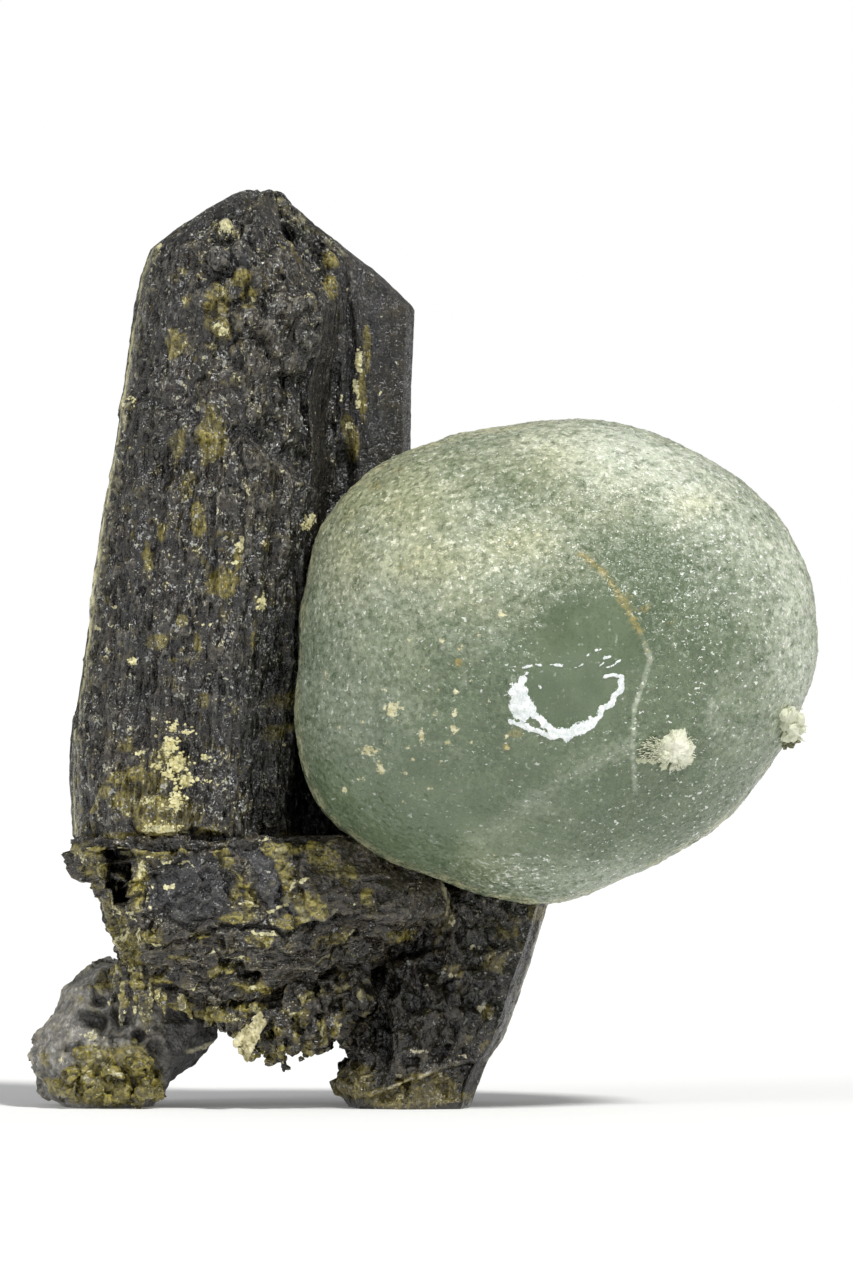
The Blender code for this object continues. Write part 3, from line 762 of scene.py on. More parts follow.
    pale = patches(X, Y, (
        (226, 227, 8, 8, 1), (224, 333, 6, 5, 1), (219, 327, 7, 6, .62), (135, 661, 5, 5, 1),
        (260, 602, 4, 9, 1), (306, 523, 3, 9, 1), (311, 518, 3, 6, .9), (133, 402, 4, 7, .95),
        (359, 359, 4, 13, 1), (356, 385, 3, 10, .9), (358, 402, 3, 7, .9), (349, 424, 4, 4, 1),
        (243, 543, 3, 9, .9), (236, 563, 9, 2, .8), (167, 826, 16, 4, .95), (157, 244, 5, 9, .8),
        (150, 815, 3, 2, .6), (240, 380, 4, 3, .8), (300, 528, 5, 3, .8), (228, 250, 6, 3, .6),
        (342, 397, 2, 4, .9), (381, 392, 2, 2, .9), (100, 628, 3, 3, .9), (120, 608, 2, 2, .9),
        (100, 846, 6, 3, .8), (250, 842, 22, 2, .9), (173, 745, 8, 9, .85), (180, 762, 11, 8, .85),
        (170, 771, 8, 6, .8), (187, 780, 8, 8, .85), (178, 799, 6, 9, .85), (175, 728, 5, 6, .75),
        (207, 757, 6, 3, .85), (143, 752, 8, 3, .8), (207, 781, 6, 2, .85), (160, 765, 8, 4, .75),
        (188, 731, 6, 4, .7), (238, 545, 3, 3, .9), (232, 604, 2, 3, .8), (212, 625, 2, 2, .9),
        (205, 625, 2, 2, .8), (253, 300, 3, 3, .8), (262, 385, 3, 3, .8), (235, 375, 3, 4, .75),
        (281, 745, 3, 2, .9), (130, 790, 3, 2, .7), (112, 770, 2, 3, .7), (150, 800, 14, 5, .6),
        (176, 806, 8, 6, .62))) * paint
    pale = np.maximum(pale, 0.62 * smooth(0.62, 0.8, perlin(P / np.array([1.4, 1.4, 2.0]), 31)) * (1 - paint))
    # painted rim light: a thin pale rim down the left outline and along the top
    left = from_side(P, -1)
    bits = perlin(P / np.array([0.5, 0.6, 0.8]), 24) + 0.6 * perlin(P / 0.22, 32)
    lit = (1 - smooth(2.5, 7.0, left)) * smooth(-0.30, 0.06, bits)
    lit = np.maximum(lit, 0.5 * smooth(0.0, 0.4, perlin(P / 0.3, 27)) * (1 - smooth(5, 18, left)))
    lit *= smooth(-0.04, 0.06, -N[..., 1]) * (1 - smooth(0.30, 0.62, N[..., 2]))
    top = np.interp(X, [150, 190, 216, 240, 288, 325, 384, 413], [245, 215, 200, 192, 200, 230, 275, 300])
    lit = np.maximum(lit, 0.35 * (1 - smooth(3, 12, Y - top)) * smooth(-0.1, 0.4, perlin(P / 0.3, 28))
                     * smooth(0.1, 0.4, -N[..., 1]) * (1 - smooth(0.5, 0.8, N[..., 2])))
    # painted highlight on ridges, and painted shade in hollows, grooves, gaps between the knobs and the ball's
    # shadow, with some darker spots
    close, wide = grid_relief(P, N2, 2), grid_relief(P, N2, 14)
    edge = np.maximum(0.8 * smooth(0.012, 0.040, -close), 0.55 * smooth(0.06, 0.20, -wide)) \
        * (1 - 0.7 * right_face)
    edge = np.maximum(edge, slab)
    pit = np.maximum(np.clip(cut / 0.42, 0, 1), 0.9 * smooth(0.04, 0.20, wide) * (1 - 0.6 * right_face))
    pit = np.maximum(pit, 0.6 * smooth(0.012, 0.045, close) * (1 - 0.6 * right_face))
    pit = np.maximum(pit, 0.60 * (1 - smooth(0.0, 0.30, big)) * upper * (0.4 + 0.6 * front) * bumpy)
    pit = np.maximum(pit, 0.70 * groove)
    pit = np.maximum(pit, shade * (0.45 + 0.40 * smooth(-0.3, 0.3, perlin(stack(s * 1.1, z * 0.08, 9.5), 29))))
    pit = np.maximum(pit, 0.7 * smooth(0.10, 0.45, perlin(stack(s * 0.7, z * 0.14, 4.5), 30)) * low)
    pit = np.maximum(pit, 0.6 * smooth(0.05, 0.5, perlin(P / np.array([1.3, 1.3, 2.4]), 26)) * upper)
    pit = np.where(bead > 0.05, pit * 0.3, pit) * (1 - 0.8 * slab)
    hue = 0.9 * perlin(P / np.array([1.5, 1.5, 2.6]), 33)
    hue += (0.8 * blob(X, Y, 245, 245, 28, 22, 0.6) + 0.5 * blob(X, Y, 290, 700, 60, 110, 0.6)
            + 0.4 * blob(X, Y, 345, 430, 50, 130, 0.6) - 0.7 * blob(X, Y, 255, 330, 60, 70, 0.7)
            - 0.5 * blob(X, Y, 215, 470, 50, 60, 0.7) - 0.4 * blob(X, Y, 130, 790, 70, 50, 0.7)) * front
    obj = grid_object("tall_epidote", P)
    give(obj, olive=olive, pale=pale, calm=right_face, pit=pit, lit=lit, edge=edge,
         hue=np.clip(hue, -1, 1))
    return obj, P, N2


# ---------------------------------------------------------------- block --------
BASE_ROWS = (
    (4.9, -13.0, -6.9, 0.50), (5.2, -13.6, -6.0, 0.68), (5.6, -14.2, -5.2, 0.80),
    (6.5, -14.8, -3.9, 0.90), (7.5, -15.4, -1.5, 0.97), (8.6, -15.6, -0.1, 1.00),
    (9.8, -15.9, 1.2, 1.00), (10.6, -16.0, 1.15, 1.00), (11.6, -16.3, 0.4, 0.98),
    (12.0, -17.35, 0.1, 0.97), (13.0, -17.5, -0.4, 0.95), (13.5, -17.3, -1.4, 0.88),
)
BASE_PLAN = (
    (0.00, -0.6), (0.03, -4.4), (0.12, -6.5), (0.34, -7.3), (0.62, -7.0),
    (0.86, -5.7), (1.00, -3.2), (0.99, 1.6), (0.86, 4.8), (0.52, 6.4),
    (0.20, 6.0), (0.03, 3.6),
)


def block():
    C = ring_corners(BASE_ROWS, BASE_PLAN, "depth", -0.3, 0.40, 8.0)
    P, arc, rise = fine_rings(C, 600, 0.10, 2.2)
    N = grid_normals(P)
    s = np.broadcast_to(arc[None, :], P.shape[:2])
    z = P[..., 2]
    X, Y = px(P[..., 0]), py(z)
    front = np.clip(-N[..., 1] * 1.6, 0, 1)
    h = 0.62 * chips(P, (3.0, 3.0, 2.2), 31, 1.0, 0.6)
    h += 0.26 * chips(P, (1.3, 1.3, 0.9), 32, 1.0, 0.6)
    h += 0.07 * chips(P, (0.5, 0.5, 0.32), 30, 1.0, 0.7)
    h += 0.10 * fractal(P / 1.6, 33, 2)
    X0, Y0 = X, Y
    X = X + 7 * perlin(P / 0.9, 47) + 3 * perlin(P / 0.35, 48)
    Y = Y + 6 * perlin(P / 0.9, 49) + 3 * perlin(P / 0.35, 50)
    low = smooth(925, 950, Y)
    h *= 1 - 0.45 * low
    wave = z + 0.25 * perlin(stack(s * 0.35, z * 0.3, 0.5), 51)
    h += 0.20 * perlin(stack(s * 0.25, wave * 2.2, 1.0), 34) * low
    h += 0.10 * perlin(stack(s * 0.7, wave * 5.0, 1.0), 35) * low
    # smooth charcoal bowl with shell-like ripples
    bowl = blob(X, Y, 192, 888, 40, 34, 0.25) * front
    r = np.hypot(X - 150, (Y - 850) * 1.1)
    shell = 1 - np.abs(np.sin(r / 9.0 + 1.5 * perlin(P / 1.8, 36)))
    h = h * (1 - 0.85 * bowl) + bowl * (0.26 * shell - 0.34 + 0.16 * chips(P, (1.0, 1.0, 0.6), 37))
    cut = np.zeros(X.shape)
    vein = line_distance(X, Y, [(250, 850), (268, 862), (268, 885), (282, 905), (290, 909)])
    vein_w = np.interp(Y, [848, 870, 890, 910], [8, 12, 11, 8])
    vein = (1 - smooth(0.75, 1.15, vein / vein_w)) * front
    h = h * (1 - 0.6 * vein) - 0.22 * vein
    # hollow at the left: an arch over a deep slot
    arch = blob(X0, Y0, 118, 854, 16, 7, 0.3)
    slot = smooth(111, 114, X0) * (1 - smooth(132, 135, X0)) * smooth(860, 865, Y0) \
        * (1 - smooth(899, 906, Y0))
    cave = np.maximum(arch, slot) * front
    h += 0.30 * blob(X, Y, 141, 905, 6, 46, 0.4) * front
    h += 0.30 * blob(X, Y, 104, 895, 6, 26, 0.4) * front
    for line, w, deep in (
            ([(76, 847), (104, 843), (150, 845), (185, 846), (215, 843), (240, 847), (282, 840), (320, 838)],
             2.6, .45),
            ([(213, 927), (240, 925), (262, 925), (285, 932), (315, 925), (342, 915)], 2.4, .45),
            ([(318, 972), (345, 945), (362, 925)], 1.8, .30),
            ([(150, 948), (190, 938), (215, 928)], 1.8, .22),
            ([(278, 885), (284, 905), (300, 930)], 2.0, .28),
            ([(222, 850), (226, 880), (238, 905)], 2.0, .25),
            ([(162, 990), (205, 985), (260, 990)], 1.8, .26),
            ([(250, 1002), (300, 995), (350, 975)], 1.8, .22),
            ([(352, 905), (380, 898), (410, 890)], 1.4, .12),
            ([(205, 952), (260, 948), (300, 955)], 1.6, .18)):
        cut = np.maximum(cut, deep * np.exp(-(line_distance(X, Y, line) / w) ** 2) * front)
    for x, y, rx, ry, down in ((226, 962, 6, 5, .55), (250, 977, 9, 5, .55), (160, 970, 6, 4, .4),
                               (238, 970, 6, 5, .4), (165, 992, 12, 3, .35), (195, 1003, 10, 5, .5),
                               (395, 985, 5, 9, .5), (177, 864, 6, 3, .25), (146, 975, 5, 6, .3),
                               (300, 1000, 14, 6, .35), (240, 1004, 14, 5, .45), (340, 990, 12, 8, .5),
                               (140, 1000, 8, 6, .4)):
        cut = np.maximum(cut, down * blob(X, Y, x, y, rx, ry, 0.6) * front)
    # slab at the right stands a little proud, the foot falls away under it
    slab = smooth(0, 5, X - np.interp(Y, [840, 870, 900, 930], [302, 296, 300, 322])) \
        * (1 - smooth(-4, 6, Y - np.interp(X, [290, 345, 450], [935, 915, 925]))) * front
    h = h * (1 - 0.6 * slab) + 0.40 * slab + 0.05 * slab * perlin(stack(s * 0.5, wave * 4.0, 3.0), 52)
    lips = smooth(0.5, 0.9, knobs(P, (0.7, 0.7, 0.6), 45)) \
        * np.maximum(blob(X, Y, 283, 878, 14, 36, 0.5), blob(X, Y, 300, 915, 30, 14, 0.5)) * front
    h += 0.18 * lips
    h -= cut
    h += 0.03 * perlin(P / 0.22, 38) * (1 - 0.6 * bowl)
    fade = smooth(0, 0.6, (13.5 - z))
    P = P + N * (h * (0.35 + 0.65 * fade) * (1 - cave))[..., None]
    P[..., 1] += 2.4 * cave
    P[..., 2] += (0.30 * perlin(stack(s * 0.55, 0.0, 7.0), 53) + 0.14 * perlin(stack(s * 1.7, 0.0, 7.0), 54)) \
        * smooth(12.3, 13.4, z)
    N2 = grid_normals(P)
    P = P + N2 * (0.025 * perlin(P / 0.12, 39))[..., None]

    olive = patches(X, Y, (
        (283, 872, 12, 30, 1), (303, 905, 22, 12, 1), (88, 852, 16, 8, 1), (122, 868, 10, 4, .9),
        (100, 885, 9, 16, .9), (104, 905, 10, 16, .95), (294, 920, 20, 7, .95), (225, 858, 10, 20, .75),
        (236, 885, 9, 20, .8), (165, 852, 30, 5, .95), (98, 866, 24, 5, .95), (112, 935, 12, 40, .85),
        (143, 880, 7, 30, .8), (128, 960, 16, 34, .85), (250, 896, 10, 14, .8), (238, 915, 20, 5, .9),
        (262, 938, 14, 5, 1), (262, 852, 18, 6, .8), (120, 990, 36, 10, .75), (226, 970, 16, 4, .95),
        (160, 978, 14, 5, .95), (245, 985, 16, 4, .95), (240, 958, 12, 3, .9), (265, 985, 10, 6, .9),
        (185, 1008, 50, 8, .85), (250, 1010, 60, 8, .85), (322, 862, 22, 16, .62), (345, 880, 18, 16, .55),
        (365, 898, 8, 14, .75), (335, 940, 26, 10, .6), (390, 975, 9, 7, .8), (400, 932, 26, 8, .6),
        (180, 955, 18, 6, .6), (205, 935, 16, 4, .7), (300, 848, 22, 6, .8), (150, 935, 14, 12, .7)))
    paint = smooth(-0.1, 0.25, -N[..., 1])
    olive *= paint
    olive = np.maximum(olive, 0.85 * smooth(0.05, 0.6, perlin(P / 1.8, 42)) * (1 - paint))
    olive *= 1 - 0.85 * np.maximum(bowl, vein)
    calm = np.maximum(np.maximum(0.85 * bowl, 0.85 * vein), 0.6 * slab)
    pale = patches(X, Y, (
        (171, 886, 3, 3, 1), (250, 903, 9, 2, .95), (289, 907, 5, 2, 1), (262, 932, 14, 1.5, 1),
        (241, 957, 5, 2, .9), (228, 956, 8, 2, .9), (252, 984, 8, 2, .8), (127, 851, 7, 4, 1),
        (98, 862, 6, 2, 1), (140, 925, 3, 22, .8), (112, 905, 3, 12, .9), (160, 943, 9, 2, .8),
        (118, 885, 2, 12, .7), (128, 968, 12, 3, .85), (170, 990, 9, 1.5, .95), (305, 880, 4, 2, .8),
        (350, 902, 3, 2, .8), (276, 909, 8, 2, .8), (84, 860, 4, 3, .9), (143, 868, 3, 8, .8),
        (150, 855, 6, 2, .8), (168, 858, 12, 1.5, .85), (190, 862, 12, 1.5, .85), (152, 896, 2, 18, .7),
        (228, 905, 8, 2, .7), (136, 1000, 4, 14, .75), (146, 1012, 3, 12, .8), (212, 952, 5, 2, .8),
        (196, 985, 8, 1.5, .8), (345, 1000, 3, 2, .8), (296, 880, 3, 10, .7), (90, 848, 9, 2, .8),
        (82, 856, 5, 3, .7), (116, 912, 5, 8, .65), (124, 935, 5, 10, .62), (270, 842, 12, 1.5, .75))) * paint
    # painted rim light along the slab's edges and a crack, and on the lips
    lit = 0.35 * (1 - smooth(1, 2.6, line_distance(X, Y, [(438, 888), (447, 905), (443, 925), (425, 945)]))) \
        * front
    lit = np.maximum(lit, 0.5 * (1 - smooth(0.6, 1.8, line_distance(
        X, Y, [(355, 930), (340, 948), (320, 970)]))) * front)
    lit = np.maximum(lit, 0.35 * lips)
    # painted highlight on ridges; painted shade in the cave, cuts and hollows, round the bowl, vein and slab and
    # under the slab, with some darker spots
    close, wide = grid_relief(P, N2, 2), grid_relief(P, N2, 16)
    edge = np.maximum(0.85 * smooth(0.008, 0.030, -close), 0.5 * smooth(0.06, 0.20, -wide)) * (1 - cave)
    edge *= 1 - 0.5 * np.maximum(bowl, vein)
    pit = np.maximum(np.clip(cut / 0.35, 0, 1), cave)
    pit = np.maximum(pit, np.maximum(0.9 * smooth(0.04, 0.18, wide), 0.6 * smooth(0.008, 0.035, close)))
    for mask in (bowl, vein, slab):
        pit = np.maximum(pit, 0.8 * (4 * mask * (1 - mask)) ** 2 * front)
    hue = np.maximum(bowl, vein) - 0.9 * slab
    pit = np.maximum(pit, 0.5 * smooth(0.1, 0.5, perlin(P / np.array([1.5, 1.5, 0.8]), 46)) * low)
    pit = np.maximum(pit, 0.55 * smooth(330, 400, X) * smooth(925, 940, Y) * front)
    obj = grid_object("broken_block", P)
    give(obj, olive=olive, pale=pale, calm=calm, pit=pit, lit=lit, hue=hue, edge=edge)
    return obj


# ---------------------------------------------------------------- rear prism ---
REAR_ROWS = (
    (0.0, -3.7, 2.3, -5.1, 6.2), (0.3, -3.9, 2.5, -5.2, 6.3), (1.2, -4.2, 2.8, -5.3, 6.6),
    (2.4, -3.5, 3.3, -5.2, 6.9), (3.4, -3.9, 4.0, -5.1, 7.1), (4.9, -3.6, 4.6, -4.9, 7.4),
    (6.2, -2.8, 5.0, -4.6, 7.7), (7.6, -2.4, 5.5, -4.2, 8.0), (10.2, -2.0, 6.3, -3.2, 8.4),
    (13.0, -1.0, 7.2, -0.6, 8.7), (16.2, 0.4, 7.6, 2.4, 8.6), (18.2, 1.8, 6.8, 4.6, 8.0),
)
REAR_PLAN = (
    (0.00, 0.34), (0.10, 0.08), (0.46, 0.00), (0.93, 0.05), (1.00, 0.20),
    (0.97, 0.76), (0.70, 1.00), (0.26, 0.97), (0.02, 0.76),
)


def rear_prism():
    C = ring_corners(REAR_ROWS, REAR_PLAN, "box", 0.0, 0.35, 5.0)
    P, arc, rise = fine_rings(C, 380, 0.13, 1.8)
    N = grid_normals(P)
    s = np.broadcast_to(arc[None, :], P.shape[:2])
    z = P[..., 2]
    X, Y = px(P[..., 0]), py(z)
    front = np.clip(-N[..., 1] * 1.6, 0, 1)
    right = np.clip(N[..., 0], 0, 1)
    flat = smooth(0.5, 0.9, right)
    side = from_side(P, 1)
    straight = np.maximum(1 - smooth(4, 42, side), smooth(0.25, 0.6, N[..., 0]))
    rocky = 1 - 0.93 * straight
    h = 0.22 * fractal(P / 1.8, 51, 3) * rocky
    h += 0.34 * chips(P, (1.6, 1.6, 2.2), 52, 1.0, 0.6) * rocky
    h += 0.22 * chips(P, (0.6, 0.6, 0.8), 58, 1.0, 0.7) * rocky
    h += 0.08 * perlin(stack(s * 2.0, z * 0.2, 2.0), 53)
    h += 0.04 * perlin(P / 0.25, 54) * (1 - 0.6 * straight)
    # ledge across the foot, hollow above it
    ridge = line_distance(X, Y, [(372, 1093), (405, 1080), (440, 1066), (468, 1058)])
    below = smooth(0, 5, Y - np.interp(X, [370, 440, 470], [1094, 1067, 1060]))
    h -= 0.40 * below * front
    h += 0.30 * np.exp(-(ridge / 3.5) ** 2) * front
    cut = np.zeros(X.shape)
    for x, y, rx, ry, down in ((440, 1050, 11, 6, .5), (380, 1040, 9, 34, .6), (365, 1062, 9, 9, .7),
                               (372, 1010, 8, 12, .5), (415, 1000, 14, 12, .4), (395, 985, 6, 10, .5),
                               (450, 985, 12, 8, .35), (480, 940, 16, 12, .3), (400, 945, 26, 12, .5),
                               (432, 960, 10, 8, .4), (470, 1000, 9, 12, .35), (410, 1060, 10, 5, .35)):
        cut = np.maximum(cut, down * blob(X, Y, x, y, rx, ry, 0.7) * front)
    h -= cut
    foot = smooth(0.0, 0.9, z)
    P = P + N * (h * foot)[..., None]
    P[..., 2] = np.where(z < 0.02, 0.0, np.maximum(P[..., 2], 0.01))
    N2 = grid_normals(P)
    # painted highlight on ridges
    close, wide = grid_relief(P, N2, 2), grid_relief(P, N2, 14)
    edge = np.maximum(0.8 * smooth(0.010, 0.035, -close), 0.5 * smooth(0.05, 0.18, -wide)) \
        * (1 - 0.8 * straight)
    olive = patches(X, Y, (
        (495, 962, 14, 11, .8), (536, 914, 9, 10, .85), (352, 1085, 20, 16, 1), (400, 1096, 44, 12, 1), (362, 1070, 12, 10, .9),
        (440, 1084, 26, 10, .85), (410, 1078, 24, 6, .8), (515, 925, 10, 16, .6),
        (345, 1045, 7, 12, .9), (430, 1074, 34, 5, .7), (436, 1096, 22, 7, .95), (462, 1096, 12, 6, .9),
        (440, 925, 10, 12, .6), (455, 970, 12, 9, .62), (487, 1010, 10, 9, .62), (450, 920, 10, 9, .62),
        (425, 1010, 10, 8, .55), (470, 1040, 8, 14, .5), (505, 935, 8, 14, .5)))
    paint = smooth(-0.15, 0.2, -N[..., 1])
    olive = np.maximum(olive * paint, 0.75 * smooth(0.25, 0.7, perlin(P / 1.6, 56)) * (1 - paint))
    pale = patches(X, Y, (
        (452, 921, 5, 7, .62), (454, 973, 5, 3, .7), (481, 1008, 4, 4, .95), (489, 1017, 3, 3, .9),
        (420, 1050, 12, 3, .7), (397, 1073, 3, 2, 1), (442, 1073, 3, 2, .95), (500, 996, 8, 2, .66),
        (476, 945, 12, 3, .6), (480, 911, 4, 3, .62), (430, 985, 5, 2, .62), (500, 925, 6, 2, .6),
        (462, 1055, 7, 2, .7), (366, 1082, 8, 2, .7), (352, 1074, 3, 2, .9))) * paint
    # painted rim light along the right outline and the ledge
    rim = from_side(P, 1)
    lit = 0.6 * (1 - smooth(1.0, 4.0, rim)) * smooth(-0.15, 0.3, perlin(P / 0.45, 57)) \
        * smooth(0.05, 0.25, -N[..., 1])
    lit = np.maximum(lit, 0.8 * np.exp(-(ridge / 1.3) ** 2) * front
                     * smooth(-0.3, 0.4, perlin(P / 0.5, 59)))
    # painted shade in cuts and hollows, with some darker spots
    pit = np.clip(cut / 0.4, 0, 1)
    pit = np.maximum(pit, 0.8 * smooth(0.05, 0.55, perlin(P / 1.2, 60)) * front)
    pit = np.maximum(pit, np.maximum(0.8 * smooth(0.04, 0.18, wide), 0.6 * smooth(0.010, 0.04, close)))
    pit = pit * (1 - 0.6 * smooth(1062, 1078, Y))
    obj = grid_object("rear_prism", P)
    give(obj, olive=olive, pale=pale, calm=0.6 * flat, pit=pit, lit=lit, edge=edge)
    return obj


# ---------------------------------------------------------------- grey knob ----
KNOB_ROWS = (
    (0.0, -18.1, -13.5, -3.6, 3.4), (0.25, -18.4, -13.35, -3.9, 3.7), (0.5, -18.7, -13.2, -4.1, 3.9),
    (1.3, -19.3, -12.7, -4.5, 4.2), (2.6, -19.77, -11.0, -4.7, 4.4), (3.5, -19.5, -10.4, -4.7, 4.4),
    (4.3, -18.9, -10.3, -4.6, 4.3), (5.2, -18.4, -11.4, -4.3, 4.1), (6.0, -17.9, -13.0, -3.8, 3.6),
    (6.7, -16.9, -13.9, -2.9, 2.9), (7.1, -16.2, -14.6, -1.8, 1.9),
)
KNOB_PLAN = (
    (0.00, 0.46), (0.05, 0.24), (0.18, 0.08), (0.40, 0.00), (0.66, 0.04),
    (0.88, 0.16), (1.00, 0.38), (0.98, 0.66), (0.82, 0.88), (0.55, 1.00),
    (0.26, 0.95), (0.06, 0.74),
)


def grey_knob():
    C = ring_corners(KNOB_ROWS, KNOB_PLAN, "box", 0.0, 0.35, 11.0)
    P, arc, rise = fine_rings(C, 360, 0.085, 1.8)
    N = grid_normals(P)
    z = P[..., 2]
    X, Y = px(P[..., 0]), py(z)
    front = np.clip(-N[..., 1] * 1.6, 0, 1)
    bridge = smooth(158, 172, X) * smooth(1000, 1010, Y)
    crys = blob(X, Y, 118, 1068, 50, 34, 0.35) * front
    smoothback = blob(X, Y, 62, 1020, 30, 42, 0.4)
    h = 0.26 * fractal(P / 1.5, 61, 3)
    h += 0.36 * chips(P, (1.2, 1.2, 1.2), 62, 1.0, 0.7) * (1 - 0.85 * bridge) * (1 - 0.75 * smoothback)
    h += 0.14 * chips(P, (0.5, 0.5, 0.5), 67, 1.0, 0.7) * (0.25 + 0.75 * crys) * (1 - 0.85 * bridge)
    h += 0.06 * perlin(P / 0.25, 63) * (1 - 0.7 * bridge)
    cut = np.zeros(X.shape)
    for x, y, rx, ry, down in ((90, 1018, 14, 8, .6), (120, 1016, 12, 10, .65), (118, 1077, 12, 3, .6),
                               (156, 1052, 8, 14, .6), (100, 1000, 10, 6, .4), (70, 1048, 12, 4, .35),
                               (140, 1035, 6, 8, .5), (88, 1088, 8, 4, .4), (132, 1092, 6, 4, .4)):
        cut = np.maximum(cut, down * blob(X, Y, x, y, rx, ry, 0.7) * front)
    h -= cut
    foot = smooth(0.0, 0.8, z)
    P = P + N * (h * foot)[..., None]
    P[..., 2] = np.where(z < 0.02, 0.0, np.maximum(P[..., 2], 0.01))
    P[..., 0] = np.maximum(P[..., 0], -20.0)
    olive = patches(X, Y, (
        (100, 1078, 38, 20, .95), (130, 1062, 28, 20, .95), (60, 1085, 20, 9, .9), (148, 1080, 12, 18, 1),
        (95, 1052, 18, 10, .85), (110, 1098, 40, 7, 1), (105, 985, 14, 12, .7), (45, 1060, 8, 14, .6),
        (78, 1000, 14, 8, .55)))
    paint = smooth(-0.15, 0.2, -N[..., 1])
    olive = np.maximum(olive * paint, 0.8 * smooth(0.1, 0.7, perlin(P / 1.3, 65)) * (1 - paint))
    pale = patches(X, Y, (
        (93, 1036, 4, 8, .75), (100, 1054, 3, 5, .9), (119, 1073, 8, 1.5, 1), (90, 1034, 10, 3, .7),
        (60, 1060, 12, 5, .62), (72, 1068, 10, 3, .7), (104, 1064, 6, 3, .7), (88, 1076, 5, 4, .7),
        (74, 1082, 4, 3, .7), (98, 1092, 4, 3, .7), (130, 1050, 5, 4, .62), (142, 1068, 3, 4, .7),
        (204, 1050, 8, 2, .9), (76, 990, 6, 3, .62), (100, 978, 6, 3, .6))) * front
    pale = np.maximum(pale, 0.5 * smooth(0.2, 0.6, perlin(P / 0.3, 66)) * crys)
    # painted shade in cuts, with the bridge and some spots darker
    pit = np.clip(cut / 0.45, 0, 1)
    pit = np.maximum(pit, 0.35 * bridge)
    pit = np.maximum(pit, 0.5 * smooth(0.15, 0.6, perlin(P / 0.9, 68)) * (1 - bridge))
    # painted rim light at the left outline and along the bridge's edge
    rim = from_side(P, -1)
    lit = 0.45 * (1 - smooth(1.0, 6.0, rim)) * smooth(-0.2, 0.4, perlin(P / 0.5, 69)) * paint
    lit = np.maximum(lit, 0.7 * (1 - smooth(1.0, 2.6, np.abs(Y - np.interp(
        X, [180, 204, 215], [1054, 1049, 1040])))) * bridge * smooth(184, 192, X))
    N2 = grid_normals(P)
    # painted highlight on ridges and painted shade in hollows
    close, wide = grid_relief(P, N2, 2), grid_relief(P, N2, 12)
    edge = np.maximum(0.7 * smooth(0.008, 0.030, -close), 0.5 * smooth(0.05, 0.16, -wide)) \
        * (1 - 0.8 * bridge) * (1 - 0.4 * smoothback)
    pit = np.maximum(pit, np.maximum(0.8 * smooth(0.04, 0.16, wide), 0.5 * smooth(0.008, 0.03, close))
                     * (1 - 0.6 * smoothback))
    obj = grid_object("grey_knob", P)
    give(obj, olive=olive, pale=pale, calm=np.maximum(0.95 * bridge, 0.8 * smoothback), pit=pit, lit=lit,
         edge=edge, hue=0.9 * bridge)
    return obj, P, N2


# ---------------------------------------------------------------- the ball -----
BALL = np.array([6.7, -4.6, 22.35])
BALL_DEPTH = 10.4
BALL_RADII = np.array([12.9, 13.2, 13.2, 12.85, 12.4, 12.2, 12.0, 12.0,
                       12.6, 13.3, 13.5, 13.1, 12.95, 13.5, 13.9, 13.3,
                       12.45, 12.2, 12.05, 11.45, 11.25, 11.5, 11.75, 12.25])


def ball_radius(d):
    """Distance from the centre to the surface along unit directions d."""
    k = (np.degrees(np.arctan2(d[..., 2], d[..., 0])) % 360.0) / 15.0
    i = np.floor(k).astype(int) % 24
    t = k - np.floor(k)
    a, b, c, e = (BALL_RADII[(i + o) % 24] for o in (-1, 0, 1, 2))
    out = 0.5 * (2 * b + (c - a) * t + (2 * a - 5 * b + 4 * c - e) * t * t
                 + (3 * b - a - 3 * c + e) * t ** 3)
    flat = np.hypot(d[..., 0], d[..., 2])
    return 1.0 / np.sqrt((flat / out) ** 2 + (d[..., 1] / BALL_DEPTH) ** 2)


def ball_point(x, y, lift=0.0):
    """Points of the ball's front at places of the photograph, and its normals."""
    X, Z = at(np.asarray(x, float), np.asarray(y, float))
    dx, dz = X - BALL[0], Z - BALL[2]
    ang = np.arctan2(dz, dx)
    d = np.stack([np.cos(ang), np.zeros_like(ang), np.sin(ang)], -1)
    rim = ball_radius(d)
    q = np.clip(1 - (np.hypot(dx, dz) / rim) ** 2, 0.0, 1)
    yy = -BALL_DEPTH * np.sqrt(q)
    P = np.stack([BALL[0] + dx, BALL[1] + yy, BALL[2] + dz], -1)
    n = np.stack([dx / rim ** 2, yy / BALL_DEPTH ** 2, dz / rim ** 2], -1)
    n /= np.linalg.norm(n, axis=-1, keepdims=True)
    return P + n * lift, n


